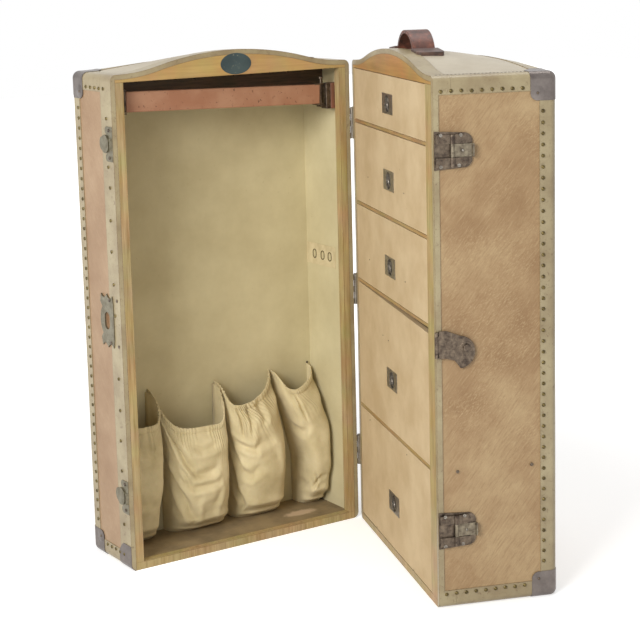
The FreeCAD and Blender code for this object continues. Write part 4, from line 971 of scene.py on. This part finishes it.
def pouch_cloth(name, form, phase):
    """A flat grid bent to the pouch's form and creased."""
    bpy.ops.object.select_all(action="DESELECT")
    bpy.ops.mesh.primitive_grid_add(x_subdivisions=ACROSS_STEPS, y_subdivisions=UP_STEPS,
                                    size=1, calc_uvs=True, location=(0, 0, 0))
    cloth = bpy.context.object
    cloth.name = cloth.data.name = name
    flat = np.empty(len(cloth.data.vertices) * 3)
    cloth.data.vertices.foreach_get("co", flat)
    flat = flat.reshape(-1, 3) + 0.5
    u, v = flat[:, 0], flat[:, 1] * (1 + FOLDED_UNDER) - FOLDED_UNDER
    place = pouch_plan(form, u, v)
    rightwards, leftwards = np.minimum(u + STEP, 1), np.maximum(u - STEP, 0)
    upwards, downwards = np.minimum(v + STEP, 1), np.maximum(v - STEP, -FOLDED_UNDER)
    along = pouch_plan(form, rightwards, v) - pouch_plan(form, leftwards, v)
    up = pouch_plan(form, u, upwards) - pouch_plan(form, u, downwards)
    outward = np.cross(along, up)
    outward /= np.maximum(np.linalg.norm(outward, axis=1, keepdims=True), 1e-9)
    wide = form["right"] - form["left"] + 1.5 * form["reach"]
    tall = form["rim"] - POUCH_FLOOR
    relief = rim_relief(u, v, wide, tall, phase)
    for depth, width, line in creases[name]:
        relief += crease_relief(u, v, wide, tall, depth, width, line)
    drift = np.array([sum(noise.noise(Vector(p) / size) * height for size, height in DRIFTS)
                      for p in place])
    held = np.clip(8 * np.minimum(u, 1 - u), 0, 1) * np.clip((v + 0.02) * 12, 0, 1)
    place += outward * ((relief + drift) * held)[:, None]
    place[:, 1] = np.minimum(place[:, 1], POUCH_BACK)
    place[:, 0] = np.clip(place[:, 0], WALL_ROOM - half_wide, half_wide - WALL_ROOM)
    metres = np.stack([place[:, 0], place[:, 1] + opening_y / MM, place[:, 2]], axis=-1) * MM
    cloth.data.vertices.foreach_set("co", metres.ravel())
    cloth.data.update()
    return cloth


pouch_cloths = {}
for phase, (name, form) in enumerate(pouches.items()):
    cloth = pouch_cloth(name, form, phase)
    area = sum(face.area for face in cloth.data.polygons)
    pouch_cloths[name] = cloth
    print(name, "cloth of", round(area, 4), "square metres")

# %% [markdown]
# ## Unbleached cotton
# Drill of this age is the colour of weak tea with milk. It is matt, its weave is too
# fine to see but breaks up the light, and hands and dust leave it darker in places.
# The sheet's own UV map follows the cloth, so the two wave textures that stand for
# warp and weft bend with it. They are drawn three times as coarse as real threads.

# %% Cotton
THREAD, CLOTH_WIDTH = 1.8, 320


def cotton(name, dark, light):
    material, tree, shell, place = finish_named(
        name, Roughness=0.88, Sheen_Weight=0.12, Sheen_Roughness=0.6)
    soiling = mottle(tree, place, 75, Detail=4.0, Roughness=0.55)
    map_place = add(tree, "ShaderNodeTexCoord").outputs["UV"]
    warp, weft = [add(tree, "ShaderNodeTexWave", {
        "Vector": map_place, "Scale": CLOTH_WIDTH / THREAD / 6.28, "Distortion": 0.6,
        "Detail": 1.0}, bands_direction=way).outputs["Fac"] for way in ("X", "Y")]
    slub, slub_tint = [mottle(tree, place, 5, output, Detail=6.0, Roughness=0.7)
                       for output in ("Fac", "Color")]
    tint = ramp(tree, soiling, (0.34, dark), (0.64, light))
    tint = stain_over(tree, tint, 0.14, slub_tint, "SOFT_LIGHT")
    weave = combine(tree, "MAXIMUM", warp, weft)
    coat(tree, shell, tint, combine(tree, "ADD", weave, slub), 0.25, 0.45)
    return material


pouch_cotton = cotton("unbleached_cotton_drill", "#C2B184", "#DACA9F")
print("cotton ready")

# %% [markdown]
# The bent sheets get their thickness inwards, then the cotton.

# %% Finish the pouches
CLOTH_THICKNESS = 1.2 * MM

for name, cloth in pouch_cloths.items():
    thicken = cloth.modifiers.new("thickness", "SOLIDIFY")
    thicken.thickness = CLOTH_THICKNESS
    thicken.offset = -1
    apply_modifiers(cloth)
    bpy.ops.object.shade_smooth()
    cloth.data.materials.append(pouch_cotton)
    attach(cloth, "hanging_half")
    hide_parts("shoe_pouches")
    print(name, len(cloth.data.polygons), "faces")

# %% [markdown]
# ## Floor and light
# The floor and the background are white, as in a catalogue, but the floor keeps the
# trunk's shadow. What the camera and shiny metal see of the sky is plain white. The
# floor adds the same white to its own shading, little beside the trunk and all of it
# further off, so that no horizon shows. A large soft lamp stands far to the left, so
# that it looks past the left edge into the wardrobe and onto the drawer fronts. A weak
# one hangs above, to the right, and the sky adds an even fill.

# %% Floor, lamps and sky
SHADOW_NEAR, WHITE_FAR = 0.9, 2.4
FLOOR_GLOW = 0.42


def seen_directly(tree):
    """1 where the camera, a mirror or a clear pane looks, and 0 for light itself."""
    rays = add(tree, "ShaderNodeLightPath").outputs
    seen = combine(tree, "MAXIMUM", rays["Is Camera Ray"], rays["Is Glossy Ray"])
    return combine(tree, "MAXIMUM", seen, rays["Is Transmission Ray"])


def add_floor():
    bpy.ops.object.select_all(action="DESELECT")
    bpy.ops.mesh.primitive_plane_add(size=24, location=(0, 0, 0))
    floor = bpy.context.object
    floor.name = "floor"
    material, tree, shell, place = finish_named("white_floor", Roughness=0.9)
    shell.inputs["Base Color"].default_value = colour("#F4F3F1")
    distance = add(tree, "ShaderNodeVectorMath", {0: place}, operation="LENGTH")
    glow = add(tree, "ShaderNodeMapRange", {
        "Value": distance.outputs["Value"], "From Min": SHADOW_NEAR, "From Max": WHITE_FAR,
        "To Min": FLOOR_GLOW, "To Max": 1.0}, interpolation_type="SMOOTHSTEP")
    seen = combine(tree, "MULTIPLY", glow.outputs["Result"], seen_directly(tree))
    tree.links.new(seen, shell.inputs["Emission Strength"])
    shell.inputs["Emission Color"].default_value = (1, 1, 1, 1)
    floor.data.materials.append(material)


def add_lamp(name, place, aim_at, size, power):
    data = bpy.data.lights.new(name, "AREA")
    data.size = size
    data.energy = power
    lamp = bpy.data.objects.new(name, data)
    lamp.location = place
    lamp.rotation_euler = (Vector(aim_at) - Vector(place)).to_track_quat("-Z", "Y").to_euler()
    bpy.context.scene.collection.objects.link(lamp)


def add_sky(strength):
    world = bpy.data.worlds.new("studio")
    world.use_nodes = True
    tree = world.node_tree
    tree.nodes.clear()
    fill = add(tree, "ShaderNodeBackground", {"Color": (1, 1, 1, 1), "Strength": strength})
    white = add(tree, "ShaderNodeBackground", {"Color": (1, 1, 1, 1), "Strength": 1.0})
    both = add(tree, "ShaderNodeMixShader", {
        0: seen_directly(tree), 1: fill.outputs[0], 2: white.outputs[0]})
    add(tree, "ShaderNodeOutputWorld", {"Surface": both.outputs[0]})
    bpy.context.scene.world = world


middle_of_trunk = (0.1, 0, 0.5)
add_floor()
add_lamp("key_lamp", (-3.7, -2.3, 2.35), middle_of_trunk, size=1.8, power=170)
add_lamp("top_lamp", (0.7, -0.3, 3.4), middle_of_trunk, size=1.2, power=26)
add_sky(strength=0.40)
print("stage set")
